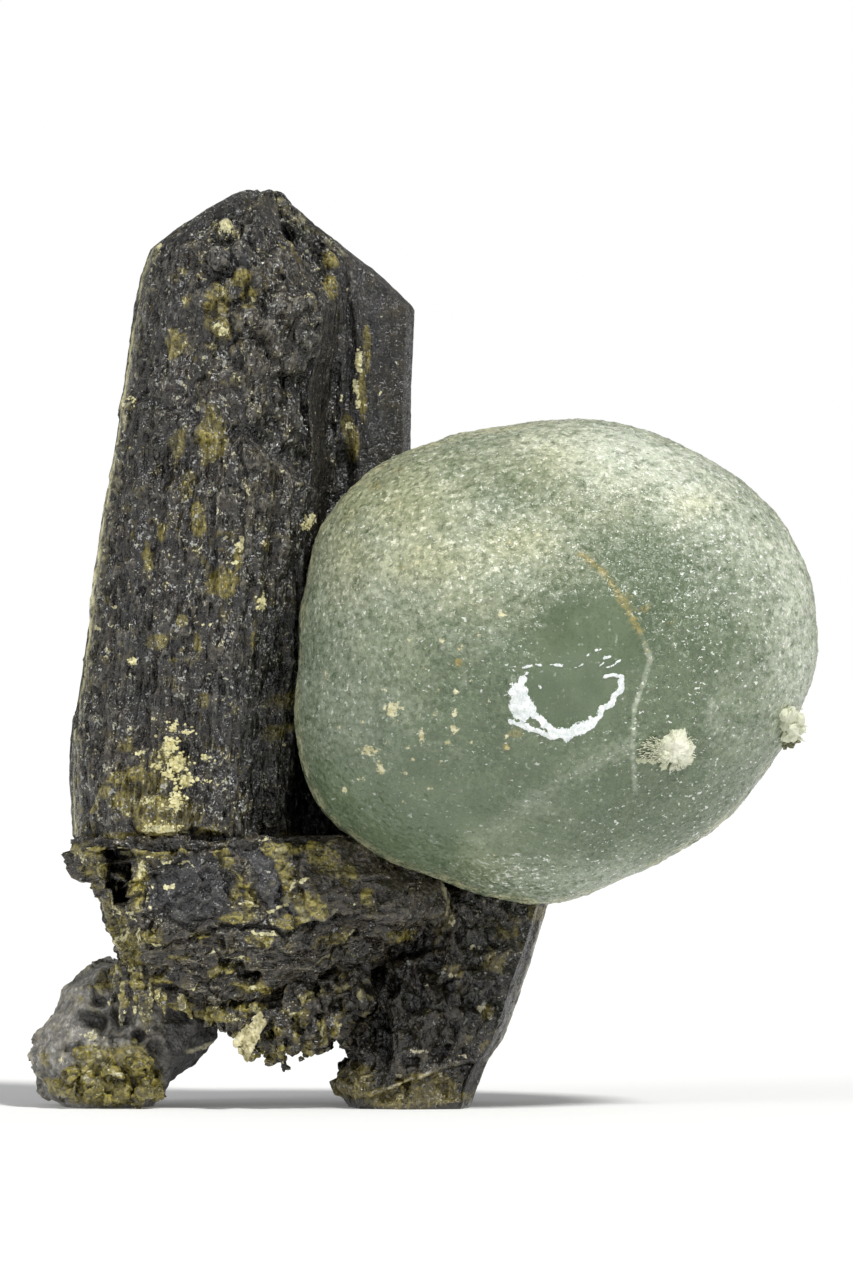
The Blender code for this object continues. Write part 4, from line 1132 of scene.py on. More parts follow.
def round_mesh(n, gather):
    """Cube-sphere directions and quads, with points gathered toward -Y."""
    g = np.tan(np.linspace(-math.pi / 4, math.pi / 4, n + 1))
    a, b = np.meshgrid(g, g, indexing="ij")
    one = np.ones_like(a)
    sides = [(one, a, b), (-one, -a, b), (-a, one, b), (a, -one, b), (-b, a, one), (b, a, -one)]
    pts, quads = [], []
    for k, (x, y, z) in enumerate(sides):
        p = np.stack([x, y, z], -1)
        pts.append(p.reshape(-1, 3))
        i, j = np.meshgrid(np.arange(n), np.arange(n), indexing="ij")
        v = k * (n + 1) ** 2 + i * (n + 1) + j
        quads.append(np.stack([v, v + n + 1, v + n + 2, v + 1], -1).reshape(-1, 4))
    pts = np.concatenate(pts)
    pts /= np.linalg.norm(pts, axis=1, keepdims=True)
    quads = np.concatenate(quads)
    key = np.round(pts * 1e6).astype(np.int64)
    _, first, back = np.unique(key, axis=0, return_index=True, return_inverse=True)
    pts, quads = pts[first], back.reshape(-1)[quads]
    # every quad faces outward
    a, b, c = (pts[quads[:, i]] for i in range(3))
    flip = (np.cross(b - a, c - a) * a).sum(1) < 0
    quads[flip] = quads[flip][:, ::-1]
    phi = np.arccos(np.clip(-pts[:, 1], -1, 1))
    new = phi - gather * np.sin(phi)
    side = pts[:, [0, 2]] / np.maximum(np.hypot(pts[:, 0], pts[:, 2]), 1e-9)[:, None]
    pts = np.stack([side[:, 0] * np.sin(new), -np.cos(new), side[:, 1] * np.sin(new)], 1)
    return pts, quads


def prehnite_ball():
    d, quads = round_mesh(128, 0.40)
    r = ball_radius(d)
    P = BALL + d * r[:, None]
    X, Y = px(P[:, 0]), py(P[:, 2])
    front = smooth(-0.25, 0.25, -d[:, 1])
    dx, dz = d[:, 0] * r, d[:, 2] * r
    flat = np.hypot(dx, dz)
    ang = np.arctan2(dz, dx)
    rim = flat / ball_radius(np.stack([np.cos(ang), np.zeros_like(ang), np.sin(ang)], -1))
    # calm: smoother and darker; the dark middle patch is a painted dark reflection, and the darker lower part and
    # left are partly painted shade
    calm = blob(X, Y, 588, 645, 54, 46, 0.3)
    calm = np.maximum(calm, 0.92 * blob(X, Y, 566, 694, 50, 40, 0.3))
    calm = np.maximum(calm, 0.62 * blob(X, Y, 430, 840, 100, 46, 0.7))
    calm = np.maximum(calm, 0.45 * blob(X, Y, 380, 780, 90, 60, 0.6))
    calm = np.maximum(calm, 0.45 * blob(X, Y, 560, 770, 60, 34, 0.7))
    calm = np.maximum(calm, 0.40 * blob(X, Y, 350, 700, 60, 80, 0.8))
    calm *= front
    # painted reflection: white ring of the lamp round the small chip
    ring = strokes(X, Y, (
        ([(521, 678), (517, 690)], 4.5, 1),
        ([(517, 690), (516, 702), (518, 712)], 10.0, 1),
        ([(525, 699), (529, 709)], 6.5, 1),
        ([(528, 709), (545, 725), (556, 733)], 4.5, 1),
        ([(509, 719), (528, 727), (552, 736)], 2.8, 1),
        ([(550, 731), (562, 733), (574, 729), (588, 722)], 6.5, 1),
        ([(588, 722), (596, 716), (598, 708), (608, 703), (611, 695), (617, 690), (618, 676)], 3.2, 1),
        ([(618, 676), (610, 674), (602, 676)], 2.4, .95),
        ([(522, 667), (530, 665)], 2.0, .8), ([(534, 664), (539, 665)], 2.0, .75),
        ([(548, 664), (560, 665)], 1.8, .75), ([(592, 650), (597, 649)], 1.8, .8),
        ([(601, 658), (607, 656)], 1.8, .8), ([(596, 666), (600, 662)], 1.8, .75),
        ([(612, 662), (616, 660)], 1.8, .8), ([(572, 667), (580, 664)], 1.6, .7),
        ([(536, 684), (539, 688)], 1.8, .7), ([(584, 655), (587, 653)], 1.8, .75),
        ([(604, 667), (611, 664)], 1.6, .75), ([(522, 675), (526, 672)], 1.8, .75)))
    ring *= front
    h = 0.12 * fractal(P / 3.0, 71, 2)
    d1, d2, who, way = cells(P / 0.45, 72)
    h += 0.07 * (np.clip(1 - d1 / 0.8, 0, 1) - 0.3 + 0.5 * (who - 0.5)) * (1 - calm)
    h += 0.04 * perlin(P / 0.2, 73) * (1 - calm)
    h += 0.05 * smooth(0.45, 0.6, ring) - 0.10 * blob(X, Y, 575, 690, 38, 30, 0.3) * front

    # the druse's pale film together with painted sheen: lighter at the top and the right, where the light falls,
    # darker low down and in the dark middle patch
    haze = np.full(len(P), 0.18)
    for x, y, rx, ry, a in ((620, 462, 70, 34, .38), (685, 505, 46, 34, .42), (740, 520, 60, 60, .30),
                            (545, 440, 80, 26, .24), (560, 480, 110, 50, .24), (640, 440, 120, 30, .24),
                            (430, 555, 70, 40, .22), (510, 545, 70, 34, .26), (400, 480, 60, 40, .14),
                            (395, 590, 70, 40, .16), (800, 610, 36, 100, .44), (770, 560, 50, 60, .22),
                            (775, 690, 44, 50, .18), (700, 470, 80, 30, .16), (520, 590, 60, 24, .12),
                            (340, 560, 40, 60, .14), (460, 620, 60, 34, .08), (690, 590, 70, 50, .02),
                            (610, 455, 40, 16, .16), (682, 505, 22, 14, .20), (655, 470, 24, 14, .14),
                            (745, 800, 60, 30, .14), (640, 875, 100, 16, .22), (500, 875, 60, 20, .14),
                            (340, 690, 60, 80, .20), (430, 495, 70, 40, .07), (380, 530, 50, 40, .06)):
        haze += a * np.exp(-((X - x) / rx) ** 2 - ((Y - y) / ry) ** 2) * front
    for x, y, rx, ry, a in ((592, 642, 56, 48, .40), (566, 700, 70, 46, .20), (660, 680, 50, 60, .10),
                            (430, 820, 130, 70, .16), (480, 700, 80, 50, .10), (660, 800, 100, 60, .17),
                            (640, 560, 40, 34, .18), (700, 630, 70, 60, .10), (330, 800, 60, 60, .14),
                            (525, 482, 44, 26, .24), (650, 520, 40, 22, .10), (635, 785, 40, 26, .10),
                            (720, 520, 40, 20, .10), (600, 560, 40, 20, .08)):
        haze -= a * np.exp(-((X - x) / rx) ** 2 - ((Y - y) / ry) ** 2) * front
    veil = line_distance(X, Y, [(478, 838), (520, 808), (570, 772), (625, 745)])
    haze += 0.20 * np.exp(-(veil / 13) ** 2) * front
    veil = line_distance(X, Y, [(650, 655), (690, 690), (730, 740)])
    haze += 0.05 * np.exp(-(veil / 22) ** 2) * front
    # painted light: away from the front it grows lighter toward the top
    up = smooth(-0.7, 0.9, d[:, 2])
    haze = haze * front + (0.14 + 0.50 * up) * (1 - front)
    haze += 0.10 * fractal(P / 2.2, 74, 3) * (1 - calm)
    haze = np.clip(haze, 0, 1)

    cream = patches(X, Y, (
        (394, 708, 10, 8, .85), (369, 749, 11, 5, .9), (380, 765, 5, 9, .9), (421, 735, 4, 10, .75),
        (453, 728, 5, 8, .85), (346, 788, 4, 2.5, 1), (460, 648, 3, 5, .7), (500, 615, 4, 3, .9),
        (404, 772, 3, 2, .9), (327, 675, 3, 5, .7), (453, 712, 4, 7, .75), (421, 718, 3, 7, .6),
        (505, 735, 3, 3, .7), (507, 747, 4, 3, .75), (438, 690, 4, 3, .62), (470, 680, 3, 3, .6),
        (386, 690, 4, 3, .6), (408, 745, 3, 3, .6), (354, 735, 3, 3, .6), (440, 760, 3, 3, .62),
        (430, 786, 3, 2, .7), (366, 720, 3, 2, .66), (446, 742, 5, 4, .7), (400, 720, 5, 3, .68),
        (388, 742, 4, 3, .7), (436, 712, 5, 4, .66), (455, 690, 5, 4, .66), (424, 668, 4, 3, .66),
        (442, 640, 5, 3, .66), (478, 635, 4, 3, .66), (410, 640, 4, 4, .6), (350, 690, 4, 3, .64),
        (340, 725, 3, 4, .64), (362, 776, 4, 3, .66), (404, 800, 3, 2, .66), (470, 742, 4, 3, .62),
        (488, 700, 3, 3, .6), (412, 757, 3, 3, .66), (330, 760, 3, 3, .6), (520, 640, 3, 2, .6)))
    warm = np.zeros(len(P))
    for x, y, rx, ry, a in ((430, 565, 80, 32, .40), (520, 545, 60, 26, .36), (400, 510, 60, 40, .34),
                            (600, 510, 80, 30, .22), (350, 560, 34, 50, .34), (470, 600, 70, 34, .22),
                            (350, 505, 30, 26, .36), (545, 470, 50, 40, .24), (690, 505, 34, 16, .26),
                            (485, 860, 30, 24, .26), (400, 640, 60, 50, .14), (560, 570, 40, 20, .2)):
        warm = np.maximum(warm, a * np.exp(-((X - x) / rx) ** 2 - ((Y - y) / ry) ** 2))
    cream = np.maximum(cream, warm * (0.92 + 0.5 * perlin(P / 1.1, 75))) * front
    warm = np.clip(1.7 * warm + 0.45 * smooth(640, 420, Y) * smooth(640, 380, X)
                   + 0.15 * perlin(P / 1.6, 78), 0, 1)
    # painted rim light along the outline, most at the left and underneath
    lit = smooth(0.965, 0.995, rim) * smooth(-0.2, 0.3, perlin(P / 0.8, 76) + 0.1) \
        * smooth(0.12, 0.0, d[:, 1])
    lit *= np.clip(0.25 + 0.75 * smooth(0.2, -0.4, d[:, 0]) + 0.5 * smooth(0.0, -0.6, d[:, 2]), 0, 1)
    rust = patches(X, Y, (
        (400, 470, 12, 7, .5), (374, 487, 11, 8, .6), (458, 662, 4, 5, 1), (515, 731, 9, 5, .7),
        (402, 570, 12, 8, .45), (640, 610, 9, 6, .6), (664, 623, 5, 4, .55), (505, 745, 5, 7, .7),
        (622, 603, 12, 12, .62), (630, 622, 8, 12, .55), (350, 520, 10, 8, .45), (378, 690, 3, 3, .6)))
    rust = np.maximum(rust, strokes(X, Y, (
        ([(578, 556), (590, 565), (603, 577), (616, 598), (627, 616), (636, 633)], 4.5, .80),
        ([(636, 633), (643, 650), (645, 662)], 3.0, .55),
        ([(645, 662), (640, 680), (632, 695)], 2.5, .42)))) * front
    vein = line_distance(X, Y, [(636, 633), (646, 658), (640, 682), (631, 705), (629, 750), (632, 790)])
    haze = np.maximum(haze, 0.50 * (1 - smooth(1.0, 4.0, vein)) * front)
    # where the painted glints crowd
    speckle = np.clip(0.22 + 0.35 * np.exp(-((X - 720) / 90) ** 2 - ((Y - 800) / 70) ** 2)
                      + 0.8 * np.exp(-((X - 500) / 60) ** 2 - ((Y - 868) / 22) ** 2)
                      + 0.4 * np.exp(-((X - 740) / 90) ** 2 - ((Y - 560) / 120) ** 2)
                      + 0.25 * np.exp(-((X - 620) / 90) ** 2 - ((Y - 850) / 40) ** 2)
                      + 0.25 * fractal(P / 2.0, 77, 2), 0, 1)
    P = P + d * h[:, None]
    obj = make("prehnite_druse_ball", P, quads)
    give(obj, haze=haze, cream=cream, rust=rust, calm=calm, ring=ring, lit=lit, speckle=speckle,
         warm=warm)
    return obj


# ---------------------------------------------------------------- small parts --
def frames(axis):
    axis = axis / np.linalg.norm(axis)
    helper = np.array([0.0, 1.0, 0.0]) if abs(axis[1]) < 0.8 else np.array([1.0, 0.0, 0.0])
    u = np.cross(axis, helper)
    u /= np.linalg.norm(u)
    return axis, u, np.cross(axis, u)


def spike(root, axis, length, wide, thick, sides=5, profile=((0, .8), (.5, 1.0), (.85, .7), (1, .12)),
          turn=0.0):
    """One tapered crystal: verts and faces (tris)."""
    a, u, w = frames(np.asarray(axis, float))
    verts, tris = [], []
    for t, r in profile:
        for k in range(sides):
            q = 2 * math.pi * k / sides + turn
            verts.append(root + a * length * t + u * math.cos(q) * wide * r + w * math.sin(q) * thick * r)
    rows = len(profile)
    for i in range(rows - 1):
        for k in range(sides):
            k2 = (k + 1) % sides
            p, q = i * sides + k, i * sides + k2
            tris += [(p, q, q + sides), (p, q + sides, p + sides)]
    n = len(verts)
    verts += [root, root + a * length]
    for k in range(sides):
        k2 = (k + 1) % sides
        tris += [(n, k2, k), (n + 1, (rows - 1) * sides + k, (rows - 1) * sides + k2)]
    return np.array(verts), np.array(tris)


def lump(centre, size, seed, squash=(1, 1, 1)):
    """A small angular grain."""
    phi = (1 + 5 ** 0.5) / 2
    v = np.array([(-1, phi, 0), (1, phi, 0), (-1, -phi, 0), (1, -phi, 0), (0, -1, phi), (0, 1, phi),
                  (0, -1, -phi), (0, 1, -phi), (phi, 0, -1), (phi, 0, 1), (-phi, 0, -1), (-phi, 0, 1)])
    f = np.array([(0, 11, 5), (0, 5, 1), (0, 1, 7), (0, 7, 10), (0, 10, 11), (1, 5, 9), (5, 11, 4),
                  (11, 10, 2), (10, 7, 6), (7, 1, 8), (3, 9, 4), (3, 4, 2), (3, 2, 6), (3, 6, 8),
                  (3, 8, 9), (4, 9, 5), (2, 4, 11), (6, 2, 10), (8, 6, 7), (9, 8, 1)])
    r = np.random.RandomState(seed)
    v = v / 1.902 * (1 + 0.28 * r.uniform(-1, 1, (12, 1)))
    q = r.uniform(0, math.pi, 3)
    for k, ang in enumerate(q):
        c, s = math.cos(ang), math.sin(ang)
        i, j = [(1, 2), (0, 2), (0, 1)][k]
        vi, vj = v[:, i].copy(), v[:, j].copy()
        v[:, i], v[:, j] = c * vi - s * vj, s * vi + c * vj
    return centre + v * size * np.array(squash), f


def join(name, parts, shade=False):
    verts, tris, run = [], [], 0
    for v, f in parts:
        verts.append(v)
        tris.append(f + run)
        run += len(v)
    return make(name, np.concatenate(verts), np.concatenate(tris), shade)


def fused(name, lumps, voxel, seed, rough=0.2, chip=0.3, size=(0.6, 0.6, 0.6), floor=None):
    """Overlapping lumps melted into one closed mesh, then broken up.
    lumps: (x, y, z, rx, ry, rz) in mm. Returns vertices, quads and normals."""
    verts, tris, run = [], [], 0
    for k, (x, y, z, rx, ry, rz) in enumerate(lumps):
        v, f = lump(np.zeros(3), 1.0, seed + k)
        verts.append(v * np.array([rx, ry, rz]) + np.array([x, y, z]))
        tris.append(f + run)
        run += len(v)
    V, F = np.concatenate(verts), np.concatenate(tris)
    mesh = bpy.data.meshes.new(name + "_raw")
    mesh.from_pydata(V.tolist(), [], F.tolist())
    obj = bpy.data.objects.new(name + "_raw", mesh)
    bpy.context.scene.collection.objects.link(obj)
    mod = obj.modifiers.new("melt", "REMESH")
    mod.mode = "VOXEL"
    mod.voxel_size = voxel
    out = obj.evaluated_get(bpy.context.evaluated_depsgraph_get()).to_mesh()
    n = len(out.vertices)
    co = np.empty(n * 3, np.float32)
    no = np.empty(n * 3, np.float32)
    out.vertices.foreach_get("co", co)
    out.vertices.foreach_get("normal", no)
    q = np.empty(len(out.loops), np.int32)
    out.loops.foreach_get("vertex_index", q)
    quads = q.reshape(-1, 4)
    obj.evaluated_get(bpy.context.evaluated_depsgraph_get()).to_mesh_clear()
    bpy.data.objects.remove(obj)
    bpy.data.meshes.remove(mesh)
    P, N = co.reshape(-1, 3).astype(float), no.reshape(-1, 3).astype(float)
    h = rough * fractal(P / 0.9, seed, 3) + chip * chips(P, size, seed + 3, 1.0, 0.7)
    h += 0.04 * perlin(P / 0.2, seed + 5)
    P = P + N * h[:, None]
    if floor is not None:
        P[:, 2] = np.maximum(P[:, 2], floor)
    return P, quads, N


def ragged_foot():
    """Ragged underside of the block, which also runs across to the rear prism."""
    r = np.random.RandomState(77)
    lumps = []
    marks = ((198, 1002, 12), (212, 1008, 14), (228, 1018, 13), (246, 1026, 13), (262, 1036, 13),
             (276, 1044, 12), (281, 1060, 6), (292, 1036, 13), (306, 1048, 8), (316, 1030, 13),
             (333, 1020, 14), (347, 1004, 16), (330, 990, 17), (300, 1005, 18), (272, 1012, 18),
             (250, 1002, 16), (215, 995, 14), (343, 1034, 9), (326, 1044, 7), (270, 1058, 6),
             (243, 1042, 8), (258, 1054, 5), (305, 1058, 4), (320, 1052, 4), (236, 1032, 7),
             (352, 980, 18), (364, 1000, 14), (345, 955, 18), (290, 1052, 6), (334, 1038, 6))
    for x, y, rad in marks:
        for deep in (-4.6, -2.0, 0.8) if rad > 9 else (r.uniform(-4.8, -3.0), r.uniform(-1.5, 1.0)):
            X, Z = at(x + r.uniform(-2, 2), y + r.uniform(-3, 1))
            k = rad * STEP
            lumps.append((X, deep + r.uniform(-.5, .5), Z, k * r.uniform(.9, 1.2),
                          k * r.uniform(1.2, 1.9) if rad > 9 else k, k * r.uniform(.9, 1.25)))
    for x, y0, y1, w in ((220, 1004, 1030, 8), (238, 1010, 1046, 8), (257, 1012, 1060, 8),
                         (281, 1018, 1070, 9), (297, 1010, 1052, 8), (312, 1006, 1056, 7),
                         (327, 1002, 1042, 9), (341, 996, 1034, 7)):
        lean = r.uniform(-5, 5)
        for t in np.linspace(0, 1, 6):
            X, Z = at(x + lean * t + r.uniform(-1.5, 1.5), y0 + (y1 - y0 - 4) * t)
            k = w * STEP * (1.15 - 0.65 * t) * r.uniform(0.9, 1.15)
            lumps.append((X, -5.2 + 0.4 * math.sin(x), Z, k, k * 1.3, max(0.30, k)))
    P, quads, N = fused("ragged_foot", lumps, 0.105, 81, 0.10, 0.34, (0.60, 0.60, 0.9))
    X, Y = px(P[:, 0]), py(P[:, 2])
    front = np.clip(-N[:, 1] * 1.6, 0, 1)
    lip = perlin(P / np.array([0.7, 0.7, 0.5]), 83)
    olive = patches(X, Y, (
        (215, 1014, 22, 8, .95), (240, 1040, 12, 10, .95), (262, 1058, 16, 6, 1), (284, 1052, 8, 10, .9),
        (308, 1052, 7, 10, .9), (323, 1030, 5, 16, .95), (335, 1026, 6, 14, .7), (275, 1030, 10, 8, .7),
        (300, 1012, 16, 5, .7), (345, 1010, 8, 8, .6), (250, 1006, 20, 5, .9), (296, 1030, 4, 14, .8)))
    olive = np.maximum(0.9 * olive, 0.28 + 0.5 * lip)
    olive = np.clip(olive, 0, 1)
    pale = patches(X, Y, (
        (322, 1030, 2, 10, .8), (262, 1052, 10, 2, .8), (284, 1060, 3, 2, .8), (300, 1012, 10, 1.5, .75),
        (240, 1018, 8, 2, .75), (341, 1022, 2, 5, .7), (218, 1006, 6, 2, .75), (310, 1056, 2, 4, .7))) * front
    # painted highlight on ridges and on the lips, painted shade in hollows and at the upper right end, with some
    # darker spots
    close, wide = mesh_relief(P, quads, N, 2), mesh_relief(P, quads, N, 20)
    edge = np.maximum(0.9 * smooth(0.010, 0.035, -close), 0.6 * smooth(0.05, 0.18, -wide)) * (0.3 + 0.7 * front)
    pit = 0.6 * smooth(0.1, 0.6, perlin(P / np.array([0.8, 0.8, 1.1]), 84))
    pit = np.maximum(pit, np.maximum(smooth(0.03, 0.16, wide), 0.7 * smooth(0.010, 0.04, close)))
    pit = np.maximum(pit, 0.7 * smooth(335, 352, X) * (1 - smooth(1030, 1045, Y)))
    obj = make("ragged_foot", P, quads)
    give(obj, olive=olive, pale=pale, pit=pit, calm=np.full(len(P), 0.2), edge=edge,
         lit=0.3 * smooth(0.3, 0.7, lip))
    return obj


def knob_crystals():
    """Crowded small crystals on the knob's front and its ragged right-hand foot."""
    r = np.random.RandomState(31)
    lumps = []
    for x, y, rad in ((98, 1060, 16), (124, 1054, 13), (140, 1066, 14), (148, 1084, 13),
                      (122, 1090, 15), (94, 1086, 15), (74, 1072, 12), (84, 1052, 9), (112, 1072, 11),
                      (156, 1094, 8), (72, 1092, 9), (108, 1044, 8), (134, 1044, 6), (160, 1072, 6),
                      (136, 1100, 8), (108, 1100, 8), (60, 1082, 7)):
        X, Z = at(x, y)
        k = rad * STEP
        z = max(Z, k * 0.95)
        lumps.append((X + r.uniform(-.1, .1), -4.0 + r.uniform(-.45, .45), z, k, k * 1.2, k))
    P, quads, N = fused("knob_crystals", lumps, 0.075, 91, 0.04, 0.26, (0.75, 0.75, 0.6), 0.01)
    X, Y = px(P[:, 0]), py(P[:, 2])
    front = np.clip(-N[:, 1] * 1.6, 0, 1)
    # painted highlight on the ridges, partly through pale along the edges at the left, and painted shade in hollows
    close, wide = mesh_relief(P, quads, N, 2), mesh_relief(P, quads, N, 24)
    edge = np.maximum(0.9 * smooth(0.006, 0.022, -close), 0.6 * smooth(0.04, 0.14, -wide))
    olive = np.clip(0.62 + 0.35 * perlin(P / 0.8, 92) + 0.3 * smooth(60, 110, X), 0, 1)
    pale = 0.40 * edge * smooth(-0.2, 0.5, perlin(P / 0.6, 93)) * (1 - smooth(120, 150, X)) * front
    pale = np.maximum(pale, patches(X, Y, ((119, 1073, 8, 2, 1), (100, 1054, 3, 4, .9),
                                           (88, 1070, 5, 2, .7), (104, 1082, 5, 2, .7))) * front)
    pit = np.maximum(smooth(0.03, 0.14, wide), 0.7 * smooth(0.006, 0.025, close))
    pit = np.maximum(pit, blob(X, Y, 118, 1079, 10, 3, 0.5) * front)
    obj = make("knob_crystals", P, quads)
    give(obj, olive=olive, pale=pale, pit=pit, calm=np.full(len(P), 0.3), edge=edge,
         lit=0.25 * smooth(0.2, 0.7, perlin(P / 0.3, 95)))
    return obj


def fibres(P, N, centre, seed, deep=0.07, dense=1.0):
    """Fine ridges that run out from a centre, as a change of height."""
    w = P - centre
    ang = np.arctan2(w[:, 2], w[:, 0])
    far = np.hypot(w[:, 0], w[:, 2])
    a, b = 6 * dense, 11 * dense
    return deep * perlin(np.stack([np.cos(ang) * a, np.sin(ang) * a, far * 1.2], -1), seed) \
        + 0.6 * deep * perlin(np.stack([np.cos(ang) * b, np.sin(ang) * b, far * 2.4], -1), seed + 1)


def sheaf():
    """Bow-tie sheaf of thin blades on the front of the ball."""
    r = np.random.RandomState(5)
    core = []
    for x, y, rad in ((675, 746, 15), (671, 738, 13), (678, 754, 12), (667, 751, 12), (682, 744, 10),
                      (663, 741, 9), (676, 733, 8), (683, 757, 7), (656, 752, 9), (648, 755, 7),
                      (641, 757, 5.5), (634, 758, 4), (650, 746, 6), (660, 762, 6)):
        p, n = ball_point(x, y, 0.0)
        k = rad * STEP
        core.append((*p, k, k * 0.8, k))
    P, quads, N = fused("cream_sheaf", core, 0.05, 101, 0.02, 0.0, (0.3, 0.3, 0.3))
    hub, _ = ball_point(670, 750, 0.0)
    ridges = fibres(P, N, hub, 104, 0.055, 2.2)
    P = P + N * ridges[:, None]
    near = np.hypot(P[:, 0] - hub[0] - 0.25, (P[:, 2] - hub[2] - 0.2))
    # painted highlight on the raised ridges, brighter toward the core
    glow = np.clip(0.46 + 6.0 * ridges + 0.6 * (1 - near / 0.8), 0, 1)
    verts, tris, run = [P], [np.concatenate([quads[:, [0, 1, 2]], quads[:, [0, 2, 3]]])], len(P)
    for k in range(520):
        q = r.uniform(0, 2 * math.pi)
        far = r.uniform(0.45, 1.0)
        x = 668 + 21 * math.cos(q) * far - (13 * far if math.cos(q) < -0.2 else 0)
        y = 747 + 19 * math.sin(q) * far * (1.0 if math.cos(q) > -0.2 else 0.7)
        p, n = ball_point(x, y, 0.0)
        out = p - hub
        out /= max(np.linalg.norm(out), 1e-6)
        axis = n * r.uniform(0.2, 0.9) + out + r.uniform(-0.15, 0.15, 3)
        v, f = spike(p + n * (0.12 + 0.5 * (1 - far)) - out * 0.12, axis, r.uniform(0.18, 0.30), 0.026, 0.020, 4,
                     ((0, 1.0), (.6, .9), (1, .4)), r.rand() * 3)
        verts.append(v)
        tris.append(f + run)
        run += len(v)
    obj = make("cream_sheaf", np.concatenate(verts), np.concatenate(tris), True)
    give(obj, glow=np.concatenate([glow, np.full(run - len(P), 0.62)]))
    return obj


def beside(x, y, lift=0.0):
    """Points that stand off the ball's right side at places of the photograph."""
    p, n = ball_point(min(x, 780.0), y, lift)
    return p + np.array([max(x - 780.0, 0.0) * STEP, 0.0, 0.0]), n


def spray():
    """Small spray of blades on the ball's right edge."""
    r = np.random.RandomState(6)
    core = []
    for x, y, rad in ((781, 713, 8), (783, 723, 10), (782, 734, 9), (788, 715, 9), (791, 725, 11),
                      (789, 735, 8), (796, 719, 7), (798, 728, 6)):
        p, n = beside(x, y)
        k = rad * STEP
        core.append((*p, k * 0.95, k * 1.25, k))
    P, quads, N = fused("edge_blades", core, 0.05, 103, 0.02, 0.0, (0.3, 0.3, 0.3))
    hub, _ = beside(782, 727)
    ridges = fibres(P, N, hub, 106, 0.06, 1.5)
    P = P + N * ridges[:, None]
    verts, tris, run = [P], [np.concatenate([quads[:, [0, 1, 2]], quads[:, [0, 2, 3]]])], len(P)
    for k in range(60):
        x, y = r.uniform(779, 796), r.uniform(710, 739)
        p, n = beside(x, y)
        out = p - hub
        out /= max(np.linalg.norm(out), 1e-6)
        v, f = spike(p + r.uniform(-0.15, 0.15, 3), n * 0.6 + out + r.uniform(-0.3, 0.3, 3), r.uniform(0.26, 0.42),
                     0.050, 0.03, 4, ((0, 1.0), (.6, .9), (1, .4)), r.rand() * 3)
        verts.append(v)
        tris.append(f + run)
        run += len(v)
    obj = make("edge_blades", np.concatenate(verts), np.concatenate(tris), True)
    # painted highlight on the raised ridges
    give(obj, glow=np.concatenate([np.clip(0.42 + 4.0 * ridges, 0, 1), np.full(run - len(P), 0.40)]))
    return obj


def spray_tip():
    """Darker crystals at the lower end of the spray."""
    core = []
    for x, y, rad in ((789, 742, 5), (795, 738, 4), (783, 745, 4), (783, 739, 5)):
        p, n = beside(x, y)
        k = rad * STEP
        core.append((*p, k, k, k * 1.2))
    P, quads, N = fused("spray_tip", core, 0.05, 105, 0.03, 0.08, (0.2, 0.2, 0.2))
    return make("spray_tip", P, quads, False)


def flakes():
    """Leaf-like cleavage flakes between the block and the knob."""
    lumps = []
    for x0, y0, x1, y1, w, dy in ((146, 985, 150, 1036, 9, -6.0), (130, 985, 122, 1026, 8, -5.7),
                                  (162, 992, 166, 1016, 7, -5.9), (116, 970, 110, 1000, 7, -5.2),
                                  (138, 972, 136, 1008, 8, -6.0), (184, 1000, 192, 1014, 6, -5.8)):
        for t in np.linspace(0, 1, 9):
            X, Z = at(x0 + (x1 - x0) * t, y0 + (y1 - y0) * t)
            k = w * STEP * (1 - 0.85 * t ** 1.6)
            lumps.append((X, dy + 0.2 * t, Z, max(k, 0.07), max(0.45 * k, 0.07), 0.30))
    P, quads, N = fused("cleavage_flakes", lumps, 0.065, 121, 0.04, 0.16, (0.5, 0.5, 1.2))
    X, Y = px(P[:, 0]), py(P[:, 2])
    obj = make("cleavage_flakes", P, quads)
    # painted highlight along the flakes' edges, through pale and lit, and painted shade in hollows
    close, wide = mesh_relief(P, quads, N, 2), mesh_relief(P, quads, N, 20)
    edge = np.maximum(0.9 * smooth(0.005, 0.020, -close), 0.7 * smooth(0.03, 0.12, -wide))
    give(obj, olive=0.50 + 0.35 * perlin(P / 0.8, 123), pale=0.25 + 0.30 * edge * (Y > 985),
         calm=np.full(len(P), 0.2), pit=np.maximum(smooth(0.03, 0.12, wide), 0.6 * smooth(0.005, 0.02, close)),
         lit=0.3 * edge, edge=edge)
    return obj


def splinter():
    """Cream splinter wedged under the block: a flat blade, broader at its foot."""
    core = []
    for t in np.linspace(0, 1, 9):
        for u in (-1, 0, 1):
            x, y = 262 - 20 * t + 3.6 * u * (0.5 + 0.8 * t), 1018 + (30 + 4 * u) * t + 2.5 * u
            X, Z = at(x, y)
            core.append((X, -6.1 - 0.15 * t - 0.10 * u, Z, 0.18, 0.26, 0.26))
    P, quads, N = fused("cream_splinter", core, 0.05, 107, 0.03, 0.10, (0.3, 0.5, 0.9))
    return make("cream_splinter", P, quads, False)


def surface_point(P, N, x, y, least=0.35):
    """Point on a grid's front at a place of the photograph."""
    X, Y = px(P[..., 0]), py(P[..., 2])
    cost = (X - x) ** 2 + (Y - y) ** 2 + np.where(-N[..., 1] < least, 4000.0, 0.0)
    i = np.unravel_index(np.argmin(cost), cost.shape)
    q = P[i].copy()
    q[0], q[2] = at(x, y)
    return q, N[i]


